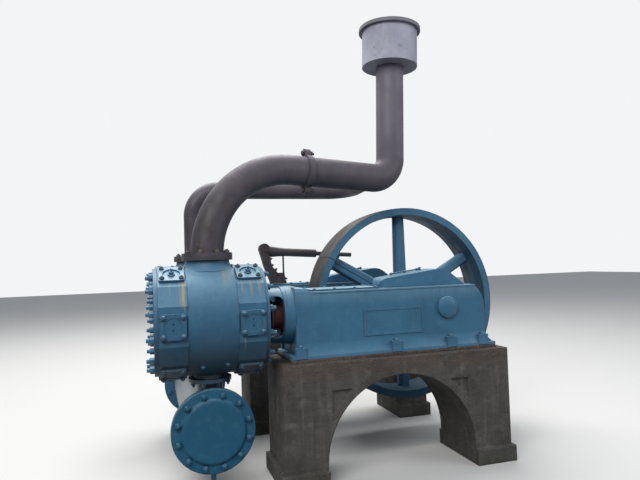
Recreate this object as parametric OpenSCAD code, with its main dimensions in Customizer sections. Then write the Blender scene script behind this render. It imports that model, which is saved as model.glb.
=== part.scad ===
// Horizontal duplex air compressor on two arched concrete foundations.
// Two cylinder lines lie side by side, a belt wheel runs between them, and
// pipes carry the intake air from one filter stack down to both cylinders.
// The origin is on the ground, under the middle of the machine.
// +X points to the crank end, +Z is up, and the near line lies at -Y.

/* [Layout] */
// Height of the crank and cylinder axes above the ground
axis_h = 1105; // [1060:5:1180]
// Distance of each cylinder line from the middle plane of the wheel
line_y = 622; // [600:2:680]
// Distance from the crank axis to the outer face of the cylinder heads
crank_to_head = 2035; // [2000:5:2100]

/* [Foundations] */
// Length of one foundation block
pier_l = 1663; // [1620:5:1720]
// Width of one foundation block
pier_w = 505; // [490:5:540]
// Distance of the inner face of a block from the middle plane
pier_in = 395; // [380:5:400]
// Height of the crank axis above the top of the blocks
axis_drop = 302; // [280:1:330]
// Distance of a block's cylinder end beyond the frame's base flange
pier_back = 71; // [50:1:90]
// Height of the footing
footing_h = 110; // [80:5:140]
// Footing projection beyond the block
footing_out = 25; // [10:5:50]
// Radius of the arch
arch_r = 545; // [500:5:560]
// Height of the arch springing above the ground
arch_spring = 140; // [120:5:180]
// Depth of the sunk panels beside the arch
panel_depth = 10; // [5:1:20]
// Distance of the panels from the edge of the arch
panel_gap = 55; // [45:1:65]
// Distance of the panels from the ends of the block
panel_side = 327; // [310:1:340]
// Distance of the panels below the top of the block
panel_drop = 184; // [170:1:190]

/* [Frames] */
// Distance from the crank axis to the cylinder end of the base flange
flange_back = 1180; // [1170:5:1200]
// Distance from the crank axis to the crank end of the base flange
flange_front = 354; // [344:2:370]
// Width of the base flange
flange_w = 440; // [430:2:450]
// Thickness of the base flange
flange_t = 20; // [16:1:26]
// Thickness of the grout bed under the frame
grout_t = 22; // [16:1:40]
// Width of the crankcase body
body_w = 380; // [360:2:400]
// Height of the body top above the crank axis
body_top = 160; // [150:1:175]
// Distance from the crank axis to the crank end of the body
body_front = 292; // [270:2:310]
// Radius of the rounded crank end, about a centre at axis height
end_r = 190; // [170:5:200]
// Height of the flare that runs from the walls into the base flange
flare_h = 96; // [70:2:110]
// Narrow land left flat along the edge of the base flange
flare_land = 3; // [2:1:6]
// Corner radius of the base flange at the cylinder end
flange_corner = 40; // [20:5:60]
// Thickness of the lip along the body top
lip_t = 11; // [8:1:16]
// Projection of the lip beyond the walls
lip_out = 4; // [2:1:8]
// Radius of the shoulders at the cylinder end
shoulder_r = 30; // [15:1:40]
// Rise of the body above its top at the cylinder end
collar_rise = 33; // [20:1:36]
// Length of the round collar at the cylinder end
collar_l = 45; // [30:1:60]
// Length of one half of the curve down to the body top
sweep_l = 46; // [40:2:70]
// Width of a foundation bolt lug
lug_w = 74; // [60:2:90]
// Height of the bolt lugs above the base flange
lug_h = 58; // [40:1:70]
// Projection of the bolt lugs beyond the base flange
lug_out = 5; // [2:1:10]
// Length of the raised name panel, left bare
name_l = 450; // [400:5:500]
// Height of the name panel
name_h = 184; // [160:2:200]
// Relief of the name panel border
name_t = 5; // [3:1:8]
// Distance from the crank axis to the near edge of the name panel
name_back = 205; // [190:5:240]
// Depth of the panel's lower edge below the crank axis
name_drop = 159; // [150:1:175]
// Radius of the round boss at the crank axis
boss_r = 78; // [60:1:85]
// Relief of the round boss
boss_t = 26; // [14:1:30]
// Edge radius of the round boss
boss_edge = 12; // [6:1:13]
// Distance of the boss from the crank axis, towards the cylinder
boss_back = 14; // [0:1:20]
// Height of the boss above the crank axis
boss_up = 6; // [0:1:12]

/* [Crankcase covers] */
// Width of the crank hood
hood_w = 220; // [180:5:240]
// Height above the body top at which roof and front would meet
hood_rise = 127; // [110:1:135]
// Distance from the crank axis to the cylinder end of the hood
hood_back = 488; // [470:2:500]
// Distance from the crank axis to the crank end of the hood
hood_front = 186; // [176:1:200]
// Height of the hood's rounded end above the body top
hood_end_h = 71; // [60:1:80]
// Radius of the hood's rounded peak
hood_peak_r = 148; // [120:1:160]
// Slope of the hood's front, in degrees
hood_front_a = 38; // [34:1:42]
// Plan radius of the hood's rounded end
hood_nose_r = 82; // [60:1:100]
// Length of the flat cover plate
cover_l = 495; // [470:5:500]
// Width of the flat cover plate
cover_w = 270; // [230:5:290]
// Thickness of the flat cover plate
cover_t = 12; // [8:1:18]
// Gap between cover plate and hood
cover_gap = 24; // [15:1:40]

/* [Cylinders] */
// Length of the cylinder with both heads
cyl_l = 701; // [680:1:720]
// Distance across opposite valve flats
flats_d = 690; // [670:2:710]
// Width of one valve flat
flat_w = 240; // [225:1:250]
// Length of one valve belt with its head
belt_l = 197; // [185:1:205]
// Diameter of the barrel between the belts
barrel_d = 706; // [690:2:716]
// Thickness of a cylinder head
head_t = 24; // [18:1:30]
// Diameter of a cylinder head
head_d = 684; // [660:2:688]
// Diameter of the sunk middle of the outer head
head_sink_d = 424; // [400:2:440]
// Depth of the sunk middle of the outer head
head_sink = 12; // [8:1:15]
// Diameter of the intake neck
inlet_d = 290; // [270:2:300]
// Diameter of the intake flanges
inlet_flange_d = 333; // [325:1:345]
// Height of the intake flange face above the axis
inlet_h = 418; // [405:1:430]
// Diameter of the outlet branch of the drum
outlet_d = 170; // [150:2:190]
// Diameter of the outlet neck of a cylinder
outlet_neck_d = 204; // [190:2:220]
// Diameter of the outlet flanges
outlet_flange_d = 280; // [260:2:300]
// Depth of the outlet flange face below the axis
outlet_h = 372; // [368:1:380]
// Radius of the fillet between a neck and the barrel
neck_r = 34; // [28:1:38]
// Height of the fillet's centre above the barrel
neck_out = 6; // [4:1:8]
// Thickness of a pipe flange
pipe_flange_t = 24; // [18:1:30]

/* [Valve covers] */
// Side of a square valve cover
valve_w = 156; // [145:1:165]
// Thickness of a valve cover
valve_t = 20; // [14:1:26]
// Corner radius of a valve cover
valve_r = 16; // [10:1:24]
// Diameter of the round recess of a valve cover
valve_recess_d = 108; // [90:1:116]
// Diameter of the boss in the recess
valve_boss_d = 44; // [36:1:50]
// Depth of the recess
valve_sink = 9; // [5:1:11]
// Diameter of the two gauge holes of a side cover
valve_hole_d = 9; // [7:1:12]
// Spacing of the two gauge holes
valve_hole_gap = 38; // [30:1:44]

/* [Distance pieces] */
// Outer diameter of the distance piece
dist_d = 380; // [370:2:386]
// Wall thickness of the distance piece
dist_wall = 40; // [30:1:48]
// Diameter of its end flanges
dist_flange_d = 396; // [390:2:410]
// Thickness of its end flanges
dist_flange_t = 26; // [20:1:30]
// Height of the side windows
window_h = 278; // [260:2:290]
// Corner radius of the side windows
window_r = 36; // [20:1:44]
// Diameter of the piston rod
rod_d = 62; // [50:1:70]
// Diameter of the rod gland
gland_d = 170; // [150:2:190]
// Diameter of the gland's nose
gland_nose_d = 116; // [100:2:130]
// Length of the rod gland
gland_l = 44; // [36:1:50]
// Radial clearance of the rod in gland and frame
rod_clear = 0.3; // [0.2:0.05:0.5]

/* [Belt wheel] */
// Outer diameter of the wheel
wheel_d = 1580; // [1540:5:1600]
// Width of the rim
rim_w = 305; // [290:1:320]
// Thickness of the rim at its edges
rim_t = 62; // [54:1:70]
// Crown of the belt face
rim_crown = 5; // [3:1:8]
// Extra thickness in the middle of the rim
rim_rib = 10; // [6:1:16]
// Diameter of the hub
hub_d = 250; // [230:5:270]
// Width of the hub
hub_w = 280; // [260:2:300]
// Number of arms
arm_count = 6; // [6:2:6]
// Width of an arm at the hub
arm_hub_w = 116; // [106:2:124]
// Width of an arm at the rim
arm_rim_w = 98; // [90:2:104]
// Thickness of an arm along the shaft
arm_t = 84; // [70:2:88]
// Angle of the parting plane above the horizontal, seen from the near side
split_angle = 150; // [150:60:150]
// Width of the parting joint
split_gap = 4; // [2:0.5:6]
// Extra width of the two arms that lie on the parting plane
split_arm_extra = 10; // [4:1:16]
// Diameter of the hub bolt lugs
hub_lug_d = 70; // [60:2:76]
// Distance of the hub bolt lugs from the ends of the hub
hub_lug_in = 12; // [6:1:20]
// Height of the hub bolt lugs above the parting plane
hub_lug_h = 42; // [36:1:50]
// Diameter of the rim bolt lugs
rim_lug_d = 56; // [48:2:64]

/* [Crankshaft] */
// Diameter of the shaft
shaft_d = 120; // [100:2:140]
// Length of each journal inside its frame
journal_l = 110; // [90:5:130]
// Radial running clearance of the journals
journal_clear = 0.06; // [0.03:0.01:0.09]
// Radial clearance of seats: hub, arm ends, lid and spindle
seat_clear = 0.05; // [0.02:0.01:0.08]
// End clearance of the shaft in its bores
end_clear = 2; // [1:0.5:4]
// Diameter of the main bearing flanges
bearing_d = 280; // [260:5:300]
// Thickness of the main bearing flanges
bearing_t = 38; // [30:1:45]
// Diameter of the main bearing necks
bearing_neck_d = 202; // [190:2:220]

/* [Drum] */
// Outer diameter of the drum shell
drum_d = 356; // [340:2:370]
// Depth of the drum axis below the cylinder axis
drum_drop = 688; // [684:1:700]
// Distance of the drum cover faces from the middle plane
drum_face_y = 803; // [790:1:815]
// Diameter of the drum flanges and covers
drum_flange_d = 530; // [520:1:545]
// Thickness of a drum flange or cover
drum_flange_t = 33; // [26:1:40]
// Diameter of the raised face of a cover
drum_face_d = 376; // [360:1:384]
// Relief of the raised face
drum_face_t = 18; // [10:1:22]
// Width of the bevel around the raised face
drum_bevel = 20; // [12:1:24]
// Wall of the drum shell
drum_wall = 12; // [9:1:16]
// Outer diameter of the drain pipe
drain_d = 34; // [27:1:42]
// Diameter of the coupling at the end of the drain pipe
drain_cap_d = 48; // [44:1:54]
// Length of the coupling
drain_cap_l = 24; // [18:1:30]
// Height of the drain pipe end above the ground
drain_h = 42; // [30:1:60]

/* [Suction pipes] */
// Outer diameter of the near pipe and the stack
pipe_d = 219; // [210:1:230]
// Wall of the pipes
pipe_wall = 7; // [5:0.5:10]
// Rise of the near bend's crest above the intake flanges
run_rise = 635; // [625:1:650]
// Rise of the far run's axis above the intake flanges
far_run_rise = 605; // [590:1:620]
// Lean of the near pipe towards the crank end, in degrees
run_fall = 2.2; // [0:0.1:3]
// Centreline radius of the first bend
bend_r = 600; // [580:1:600]
// Plan angle of the near run
run_turn = 11; // [10:0.5:12]
// Distance from the cylinder's middle to the stack along the near run
run_reach = 1481; // [1450:1:1500]
// Distance of the flanged joint from the riser along the run
joint_at = 737; // [720:1:760]
// Diameter of the round part of the joint's two-bolt flanges
joint_d = 246; // [236:1:256]
// Distance of the joint's bolts from the pipe's axis
joint_bolt_r = 136; // [130:1:142]
// Width of the flange ears that take the bolts
joint_ear_w = 64; // [50:1:72]
// Thickness of one flange of the joint
joint_t = 22; // [18:1:28]
// Centreline radius of the stack elbow
elbow_r = 165; // [155:1:180]
// Outer diameter of the far pipe
far_pipe_d = 152; // [140:1:165]
// Centreline radius of the far bends
far_bend_r = 232; // [220:1:240]
// Length of the branch stub beyond the stack elbow
branch_l = 60; // [40:2:80]
// Place of the branch on the elbow, in degrees of the bend
branch_a = 58; // [50:1:60]

/* [Air filter] */
// Length of the stack between the elbow and the filter
stack_l = 742; // [700:2:780]
// Diameter of the filter body
filter_d = 440; // [420:2:460]
// Height of the filter body
filter_body_h = 298; // [280:2:320]
// Diameter of the lid
lid_d = 492; // [480:2:510]
// Thickness of the lid rim
lid_t = 28; // [24:1:40]
// Thickness of the filter's sheet walls
sheet_t = 6; // [4:0.5:8]

/* [Regulator] */
// Distance of the pilot body from the crank axis
reg_back = 915; // [905:1:930]
// Diameter of the pilot body
pilot_d = 104; // [96:1:112]
// Height of the pilot body's top above the crank axis
pilot_h = 240; // [225:1:255]
// Diameter of the pilot cap
pilot_cap_d = 68; // [60:1:76]
// Thickness of the pilot cap
pilot_cap_t = 28; // [20:1:34]
// Distance of the pilot cap from the middle of the pilot body
pilot_cap_off = 14; // [10:1:18]
// Distance of the spindle from the middle of the pilot body
spindle_off = 38; // [34:1:40]
// Diameter of the spindle
spindle_d = 16; // [12:1:18]
// Distance of the bracket's head from the pilot body
head_gap = 138; // [130:1:146]
// Height of the bracket's head above the crank axis
reg_head_h = 489; // [480:1:500]
// Diameter of the bracket's head
reg_head_d = 100; // [90:1:108]
// Thickness of the bracket
bracket_t = 66; // [50:2:80]
// Width of the bracket's leg
bracket_w = 64; // [54:1:72]
// Height of the regulator's foot
reg_foot_h = 26; // [18:1:34]
// Depth of the tube's axis below the middle of the bracket's head
tube_drop = 22; // [16:1:26]
// Slope of the tube, falling towards the wheel, in degrees
tube_fall = 3.6; // [0:0.2:5]
// Outer diameter of the regulator tube
tube_d = 74; // [64:1:80]
// Length of the regulator tube
tube_l = 490; // [470:5:510]
// Outer diameter of the thin pipe beyond the tube
thin_d = 40; // [34:1:48]
// Length of the thin pipe
thin_l = 350; // [330:5:370]

/* [Hidden] */
$fn = 96;

paint = "#3f84a8";
pipe_black = "#4a4350";
concrete = "#6f675c";
steel = "#8d9299";
oxide = "#5a2522";
filter_grey = "#5b5a66";

// Slack that lets a cutting shape pass cleanly through a face
cut = 1;
// Panel heights to one width of the name panel's border
name_edges = 12;
// Depth to which the circle of a flare reaches into the wall
flare_bite = 1;
// Facets of the hood's rounded peak
peak_steps = 14;
// Gap between the regulator's bracket and the pilot cap
cap_gap = 2;

// Places along X, from the crank axis and the two ends of the machine
half_l = (crank_to_head + wheel_d / 2) / 2;
crank_x = half_l - wheel_d / 2;
head_x = -half_l;
cyl_end_x = head_x + cyl_l;
cyl_mid_x = head_x + cyl_l / 2;
frame_x = crank_x - flange_back;
pier_x = frame_x - pier_back;
arch_x = pier_x + pier_l / 2;

// Heights
pier_h = axis_h - axis_drop;
frame_z = pier_h + grout_t;
body_z = frame_z + flange_t;
top_z = axis_h + body_top;

wall_y = body_w / 2;
inner_y = line_y - wall_y;
// Depth to which the piston rod runs into the frame
rod_in = collar_l + shoulder_r / 2;

// Valve belt: six wide flats at 60 degrees with a narrow flat between each two
belt_r = sqrt(pow(flats_d / 2, 2) + pow(flat_w / 2, 2));
belt_a = atan(flat_w / flats_d);

drum_x = cyl_mid_x;
drum_z = axis_h - drum_drop;

// Foundations

module pier_outline() {
    difference() {
        union() {
            translate([pier_x, 0]) square([pier_l, pier_h]);
            translate([pier_x - footing_out, 0]) square([pier_l + 2 * footing_out, footing_h]);
        }
        translate([arch_x, arch_spring]) circle(r = arch_r);
        translate([arch_x - arch_r, -cut]) square([2 * arch_r, arch_spring + cut]);
    }
}

// Sunk spandrel panel on each side of the arch
module pier_panels() {
    panel_top = pier_h - panel_drop;
    difference() {
        translate([pier_x + panel_side, arch_spring]) square([pier_l - 2 * panel_side, panel_top - arch_spring]);
        translate([arch_x, arch_spring]) circle(r = arch_r + panel_gap);
    }
}

module foundation() {
    difference() {
        union() {
            translate([0, pier_in + pier_w, 0]) rotate([90, 0, 0]) linear_extrude(pier_w)
                pier_outline();
            footing_front();
        }
        translate([0, pier_in + pier_w + cut, 0]) rotate([90, 0, 0]) linear_extrude(panel_depth + cut)
            pier_panels();
    }
}

// Footing courses that stand out in front of and behind the legs
module footing_front() {
    leg_l = pier_l / 2 - arch_r + footing_out;
    for (x = [pier_x - footing_out, arch_x + arch_r])
        translate([x, pier_in - footing_out, 0]) cube([leg_l, pier_w + 2 * footing_out, footing_h]);
}

module grout() {
    color(concrete) translate([frame_x, line_y - flange_w / 2, pier_h])
        cube([flange_back + flange_front, flange_w, grout_t]);
}

// Crankcase frames

// Radius of a hollow curve from the wall out to the distance out; it meets the wall
// at a slight angle, as if its circle reached the width flare_bite into the wall
function flare_radius(out) = (out * out + flare_h * flare_h - flare_bite * flare_bite) / (2 * (out + flare_bite));

// Area under that curve, with the foot of the wall at the origin
module flare(out) {
    difference() {
        translate([-2 * flare_bite, -cut]) square([out + 2 * flare_bite, flare_h + cut]);
        translate([flare_radius(out), flare_h]) circle(r = flare_radius(out) + flare_bite);
    }
}

// Curve from the high cylinder end down to the body top: a round shoulder, then a hollow
module sweep_down() {
    r = (sweep_l * sweep_l + collar_rise * collar_rise / 4) / collar_rise;
    intersection() {
        square([sweep_l, collar_rise]);
        translate([0, collar_rise - r]) circle(r = r);
    }
    difference() {
        translate([sweep_l, -cut]) square([sweep_l, collar_rise / 2 + cut]);
        translate([2 * sweep_l, r]) circle(r = r);
    }
}

body_x = frame_x + collar_l;
sweep_x = body_x + collar_rise;
front_x = crank_x + body_front;
under_lip = top_z - lip_t;

// Side view of the body below its lip, with the rounded crank end
module body_side() {
    translate([body_x, frame_z]) square([front_x - end_r - body_x, under_lip - frame_z]);
    intersection() {
        translate([front_x - end_r, axis_h]) circle(r = end_r);
        translate([front_x - end_r - cut, frame_z]) square([end_r + cut, under_lip - frame_z]);
    }
    translate([front_x - end_r, frame_z]) square([end_r, axis_h - frame_z]);
}

// Side view of the raised cylinder end above the body
module raised_side() {
    translate([body_x, under_lip]) square([sweep_x - body_x, collar_rise + lip_t]);
    translate([sweep_x, under_lip]) square([2 * sweep_l, lip_t]);
    translate([sweep_x, top_z]) sweep_down();
}

// Section of the raised end, its shoulders cut back in two flats a side
module raised_section() {
    z0 = under_lip - cut;
    z1 = top_z + collar_rise;
    inset = wall_y - shoulder_r;
    bite = shoulder_r * (1 - cos(45));
    polygon([[-wall_y - cut, z0], [wall_y + cut, z0], [wall_y + cut, z1 - shoulder_r],
             [wall_y, z1 - shoulder_r], [wall_y - bite, z1 - bite], [inset, z1], [inset, z1 + cut],
             [-inset, z1 + cut], [-inset, z1], [bite - wall_y, z1 - bite],
             [-wall_y, z1 - shoulder_r], [-wall_y - cut, z1 - shoulder_r]]);
}

module body() {
    translate([0, wall_y, 0]) rotate([90, 0, 0]) linear_extrude(2 * wall_y) body_side();
    intersection() {
        translate([0, wall_y, 0]) rotate([90, 0, 0]) linear_extrude(2 * wall_y) raised_side();
        translate([body_x - cut, 0, 0]) rotate([90, 0, 90])
            linear_extrude(2 * sweep_l + collar_rise + collar_l) raised_section();
    }
    for (s = [0, 1]) mirror([0, s, 0]) translate([body_x, wall_y, body_z]) rotate([90, 0, 90])
        linear_extrude(front_x - body_x) flare(flange_w / 2 - wall_y - flare_land);
    translate([front_x, wall_y, body_z]) rotate([90, 0, 0])
        linear_extrude(2 * wall_y) flare(flange_front - body_front - flare_land);
    translate([frame_x, 0, frame_z]) linear_extrude(flange_t) flange_plan();
}

// Plan of the base flange, its corners rounded at the cylinder end
module flange_plan() {
    length = flange_back + flange_front;
    inset = flange_w / 2 - flange_corner;
    translate([flange_corner, -flange_w / 2]) square([length - flange_corner, flange_w]);
    translate([0, -inset]) square([length, 2 * inset]);
    for (s = [-1, 1]) translate([flange_corner, s * inset]) circle(r = flange_corner);
}

// Foundation bolt lugs along both edges of the base flange
lug_half = lug_w / 2;
lug_places = [frame_x + 2 * flange_corner - lug_half / 3, (frame_x + front_x) / 2 + lug_half / 2,
              crank_x, front_x - lug_half];

module bolt_lugs() {
    reach = flange_w / 2 + lug_out;
    for (x = lug_places, s = [-1, 1])
        translate([x - lug_half, s < 0 ? -reach : wall_y - cut, frame_z + lug_out])
            cube([lug_w, reach - wall_y + cut, flange_t + lug_h - lug_out]);
}

// Lip along the body top, on which hood and cover plate sit
module body_lip() {
    x1 = sweep_x + 2 * sweep_l;
    end_drop = body_top - lip_t;
    translate([x1, -wall_y - lip_out, top_z - lip_t])
        cube([front_x - end_r + sqrt(end_r * end_r - end_drop * end_drop) - x1, body_w + 2 * lip_out, lip_t]);
}

// Bare name panel with a raised border, on the outer wall
module name_panel() {
    border = name_h / name_edges;
    x0 = crank_x - name_back - name_l;
    translate([x0, wall_y, axis_h - name_drop]) difference() {
        translate([0, -cut, 0]) cube([name_l, name_t + cut, name_h]);
        translate([border, name_t / 2, border]) cube([name_l - 2 * border, name_t, name_h - 2 * border]);
    }
}

module boss() {
    flat_r = boss_r - boss_edge;
    translate([crank_x - boss_back, wall_y, axis_h + boss_up]) rotate([-90, 0, 0]) rotate_extrude() {
        translate([0, -cut]) square([boss_r, boss_t - boss_edge + cut]);
        square([flat_r, boss_t]);
        translate([flat_r, boss_t - boss_edge]) circle(r = boss_edge);
    }
}

module frame() {
    translate([0, line_y, 0]) difference() {
        union() {
            body();
            translate([frame_x, 0, axis_h]) rotate([0, 90, 0]) cylinder(d = dist_flange_d, h = collar_l + cut);
            body_lip();
            bolt_lugs();
            name_panel();
            boss();
        }
        translate([crank_x, -wall_y - cut, axis_h]) rotate([-90, 0, 0])
            cylinder(r = shaft_d / 2 + journal_clear, h = journal_l + end_clear + cut);
        translate([frame_x - cut, 0, axis_h]) rotate([0, 90, 0])
            cylinder(r = rod_d / 2 + rod_clear, h = rod_in + cut);
    }
}

module cover_plate() {
    x1 = crank_x - hood_back - cover_gap;
    translate([x1 - cover_l, line_y - cover_w / 2, top_z]) cube([cover_l, cover_w, cover_t]);
}

// Side view of the crank hood: round back, rising roof, round peak, steep front.
// Roof and front would meet at an apex; an arc that touches both takes its place.
module hood_side() {
    back_x = crank_x - hood_back;
    front_foot = crank_x + hood_front;
    apex_x = front_foot - hood_rise / tan(hood_front_a);
    roof_a = atan((hood_rise - hood_end_h) / (apex_x - back_x - hood_end_h));
    touch = hood_peak_r * tan((roof_a + hood_front_a) / 2);
    peak_x = apex_x - touch * cos(roof_a) + hood_peak_r * sin(roof_a);
    peak_z = top_z + hood_rise - touch * sin(roof_a) - hood_peak_r * cos(roof_a);
    difference() {
        polygon(concat(
        [[back_x, top_z], [back_x, top_z + hood_end_h], [back_x + hood_end_h, top_z + hood_end_h]],
        [for (i = [0 : peak_steps]) let (a = -roof_a + i * (roof_a + hood_front_a) / peak_steps)
            [peak_x + hood_peak_r * sin(a), peak_z + hood_peak_r * cos(a)]],
        [[front_foot, top_z]]
        ));
        difference() {
            translate([back_x - cut, top_z]) square([hood_end_h + cut, hood_end_h + cut]);
            translate([back_x + hood_end_h, top_z]) circle(r = hood_end_h);
            translate([back_x + hood_end_h, top_z]) square([cut, hood_end_h + cut]);
        }
    }
}

// Plan of the hood, rounded at the cylinder end
module hood_plan() {
    back_x = crank_x - hood_back;
    inset = hood_w / 2 - hood_nose_r;
    translate([back_x, -inset]) square([hood_back + hood_front, 2 * inset]);
    translate([back_x + hood_nose_r, -hood_w / 2]) square([hood_back + hood_front - hood_nose_r, hood_w]);
    for (s = [-1, 1]) translate([back_x + hood_nose_r, s * inset]) circle(r = hood_nose_r);
}

module crank_hood() {
    translate([0, line_y, 0]) intersection() {
        translate([0, hood_w / 2, 0]) rotate([90, 0, 0]) linear_extrude(hood_w) hood_side();
        linear_extrude(2 * top_z) hood_plan();
    }
}

module main_bearing() {
    y1 = inner_y;
    translate([crank_x, y1 - bearing_t, axis_h]) rotate([-90, 0, 0]) difference() {
        union() {
            translate([0, 0, bearing_t / 2]) cylinder(d = bearing_d, h = bearing_t / 2);
            cylinder(d = bearing_neck_d, h = bearing_t / 2);
        }
        translate([0, 0, -cut]) cylinder(r = shaft_d / 2 + journal_clear, h = bearing_t + 2 * cut);
    }
}

// Distance pieces and rods

module along_x(x, y, z) {
    translate([x, y, z]) rotate([0, 90, 0]) children();
}

module rounded_window(w, h, r) {
    square([w, h - 2 * r], center = true);
    square([w - 2 * r, h], center = true);
    for (x = [-1, 1], z = [-1, 1]) translate([x * (w / 2 - r), z * (h / 2 - r)]) circle(r = r);
}

module distance_piece() {
    length = frame_x - cyl_end_x;
    window_l = length - 2 * dist_flange_t;
    difference() {
        union() {
            along_x(cyl_end_x, line_y, axis_h) cylinder(d = dist_d, h = length);
            along_x(cyl_end_x, line_y, axis_h) cylinder(d = dist_flange_d, h = dist_flange_t);
            along_x(frame_x - dist_flange_t, line_y, axis_h) cylinder(d = dist_flange_d, h = dist_flange_t);
        }
        along_x(cyl_end_x - cut, line_y, axis_h) cylinder(d = dist_d - 2 * dist_wall, h = length + 2 * cut);
        translate([(cyl_end_x + frame_x) / 2, line_y + dist_flange_d / 2 + cut, axis_h]) rotate([90, 0, 0])
            linear_extrude(dist_flange_d + 2 * cut) rounded_window(window_l, window_h, window_r);
    }
}

module rod_gland() {
    along_x(cyl_end_x, line_y, axis_h) difference() {
        union() {
            cylinder(d = gland_d, h = gland_l / 2);
            cylinder(d = gland_nose_d, h = gland_l);
        }
        translate([0, 0, -cut]) cylinder(r = rod_d / 2 + rod_clear, h = gland_l + 2 * cut);
    }
}

module piston_rod() {
    along_x(cyl_end_x, line_y, axis_h) cylinder(d = rod_d, h = frame_x + rod_in - cyl_end_x);
}

// Cylinders

module belt_outline() {
    polygon([for (k = [0 : 5], s = [-1, 1])
        [belt_r * cos(60 * k + s * belt_a), belt_r * sin(60 * k + s * belt_a)]]);
}

// A belt profile lies in the plane across the cylinder, a flat facing each side
module belt(x, length) {
    translate([x, line_y, axis_h]) rotate([90, 0, 90]) linear_extrude(length) belt_outline();
}

// Round neck with a hollow fillet where it leaves the barrel
module flared_neck(d, reach, flange_d) {
    root = barrel_d / 2;
    rotate_extrude() difference() {
        union() {
            square([d / 2, reach]);
            translate([0, reach - pipe_flange_t]) square([flange_d / 2, pipe_flange_t]);
            translate([0, root - neck_r]) square([d / 2 + neck_r, neck_r + neck_out]);
        }
        translate([d / 2 + neck_r, root + neck_out]) circle(r = neck_r);
    }
}

module cylinder_body() {
    union() {
        belt(head_x + head_t, belt_l - head_t);
        belt(cyl_end_x - belt_l, belt_l - head_t);
        along_x(head_x + belt_l, line_y, axis_h) cylinder(d = barrel_d, h = cyl_l - 2 * belt_l);
        along_x(cyl_end_x - head_t, line_y, axis_h) cylinder(d = head_d, h = head_t);
        translate([cyl_mid_x, line_y, axis_h]) flared_neck(inlet_d, inlet_h, inlet_flange_d);
        translate([cyl_mid_x, line_y, axis_h]) rotate([180, 0, 0])
            flared_neck(outlet_neck_d, outlet_h, outlet_flange_d);
    }
}

module outer_head() {
    along_x(head_x, line_y, axis_h) difference() {
        cylinder(d = head_d, h = head_t);
        translate([0, 0, -cut]) cylinder(d = head_sink_d, h = head_sink + cut);
    }
}

// Valve covers

module valve_plate() {
    inset = valve_w / 2 - valve_r;
    linear_extrude(valve_t) union() {
        square([valve_w, 2 * inset], center = true);
        square([2 * inset, valve_w], center = true);
        for (x = [-inset, inset], y = [-inset, inset]) translate([x, y]) circle(r = valve_r);
    }
}

// Upper covers have a deep ring recess around a boss
module deep_cover() {
    difference() {
        valve_plate();
        translate([0, 0, valve_t - valve_sink]) difference() {
            cylinder(d = valve_recess_d, h = valve_sink + cut);
            translate([0, 0, -cut]) cylinder(d = valve_boss_d, h = valve_sink + 3 * cut);
        }
    }
}

// Side and lower covers have a shallow round recess and two gauge holes
module plain_cover() {
    difference() {
        valve_plate();
        translate([0, 0, valve_t - valve_sink / 3]) cylinder(d = valve_recess_d, h = valve_sink);
        for (s = [-1, 1]) translate([s * valve_hole_gap / 2, 0, valve_t / 2])
            cylinder(d = valve_hole_d, h = valve_t);
    }
}

// The local Z axis of a cover points outwards from its flat, its X axis along the flat
module valve_cover_at(x, angle) {
    translate([x, line_y, axis_h]) rotate([angle, 0, 0]) translate([0, 0, flats_d / 2]) rotate([0, 0, 90])
        children();
}

module valve_covers() {
    for (x = [head_x + (head_t + belt_l) / 2, cyl_end_x - (head_t + belt_l) / 2]) {
        for (a = [-30, 30]) valve_cover_at(x, a) deep_cover();
        for (a = [-90, 90, -150, 150]) valve_cover_at(x, a) plain_cover();
    }
}

// Drum under the cylinders

module drum_shell() {
    inner_len = 2 * (drum_face_y - drum_flange_t);
    branch_top = axis_h - outlet_h;
    color(paint) difference() {
        union() {
            translate([drum_x, inner_len / 2, drum_z]) rotate([90, 0, 0]) cylinder(d = drum_d, h = inner_len);
            for (s = [-1, 1]) {
                translate([drum_x, s * (inner_len / 2 - drum_flange_t / 2), drum_z]) rotate([90, 0, 0])
                    cylinder(d = drum_flange_d, h = drum_flange_t, center = true);
                translate([drum_x, s * line_y, drum_z]) cylinder(d = outlet_d, h = branch_top - drum_z);
                translate([drum_x, s * line_y, branch_top - pipe_flange_t])
                    cylinder(d = outlet_flange_d, h = pipe_flange_t);
            }
        }
        translate([drum_x, inner_len / 2 + cut, drum_z]) rotate([90, 0, 0])
            cylinder(d = drum_d - 2 * drum_wall, h = inner_len + 2 * cut);
    }
}

module drum_cover() {
    translate([drum_x, drum_face_y - drum_flange_t, drum_z]) rotate([-90, 0, 0]) {
        cylinder(d = drum_flange_d, h = drum_flange_t);
        translate([0, 0, drum_flange_t])
            cylinder(d1 = drum_face_d + 2 * drum_bevel, d2 = drum_face_d, h = drum_face_t);
    }
}

// Drain pipe under the near end of the drum
module drum_drain() {
    y = -(drum_face_y - 2 * drum_flange_t - drain_d);
    color(paint) translate([drum_x, y, 0]) difference() {
        union() {
            translate([0, 0, drain_h]) cylinder(d = drain_d, h = drum_z - drain_h);
            translate([0, 0, drain_h]) cylinder(d = drain_cap_d, h = drain_cap_l);
        }
        translate([0, -drum_d, drum_z]) rotate([-90, 0, 0]) cylinder(d = drum_d, h = 2 * drum_d);
    }
}

// Suction pipes

module tube(d, length) {
    difference() {
        cylinder(d = d, h = length);
        translate([0, 0, -cut]) cylinder(d = d - 2 * pipe_wall, h = length + 2 * cut);
    }
}

// Quarter bend from straight up to +X, starting at the origin
module quarter_bend(d, r) {
    translate([r, 0, 0]) rotate([90, 0, 0]) intersection() {
        rotate_extrude() translate([r, 0]) difference() {
            circle(d = d);
            circle(d = d - 2 * pipe_wall);
        }
        translate([-r - d, 0, -d]) cube([r + d, r + d, 2 * d]);
    }
}

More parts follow.
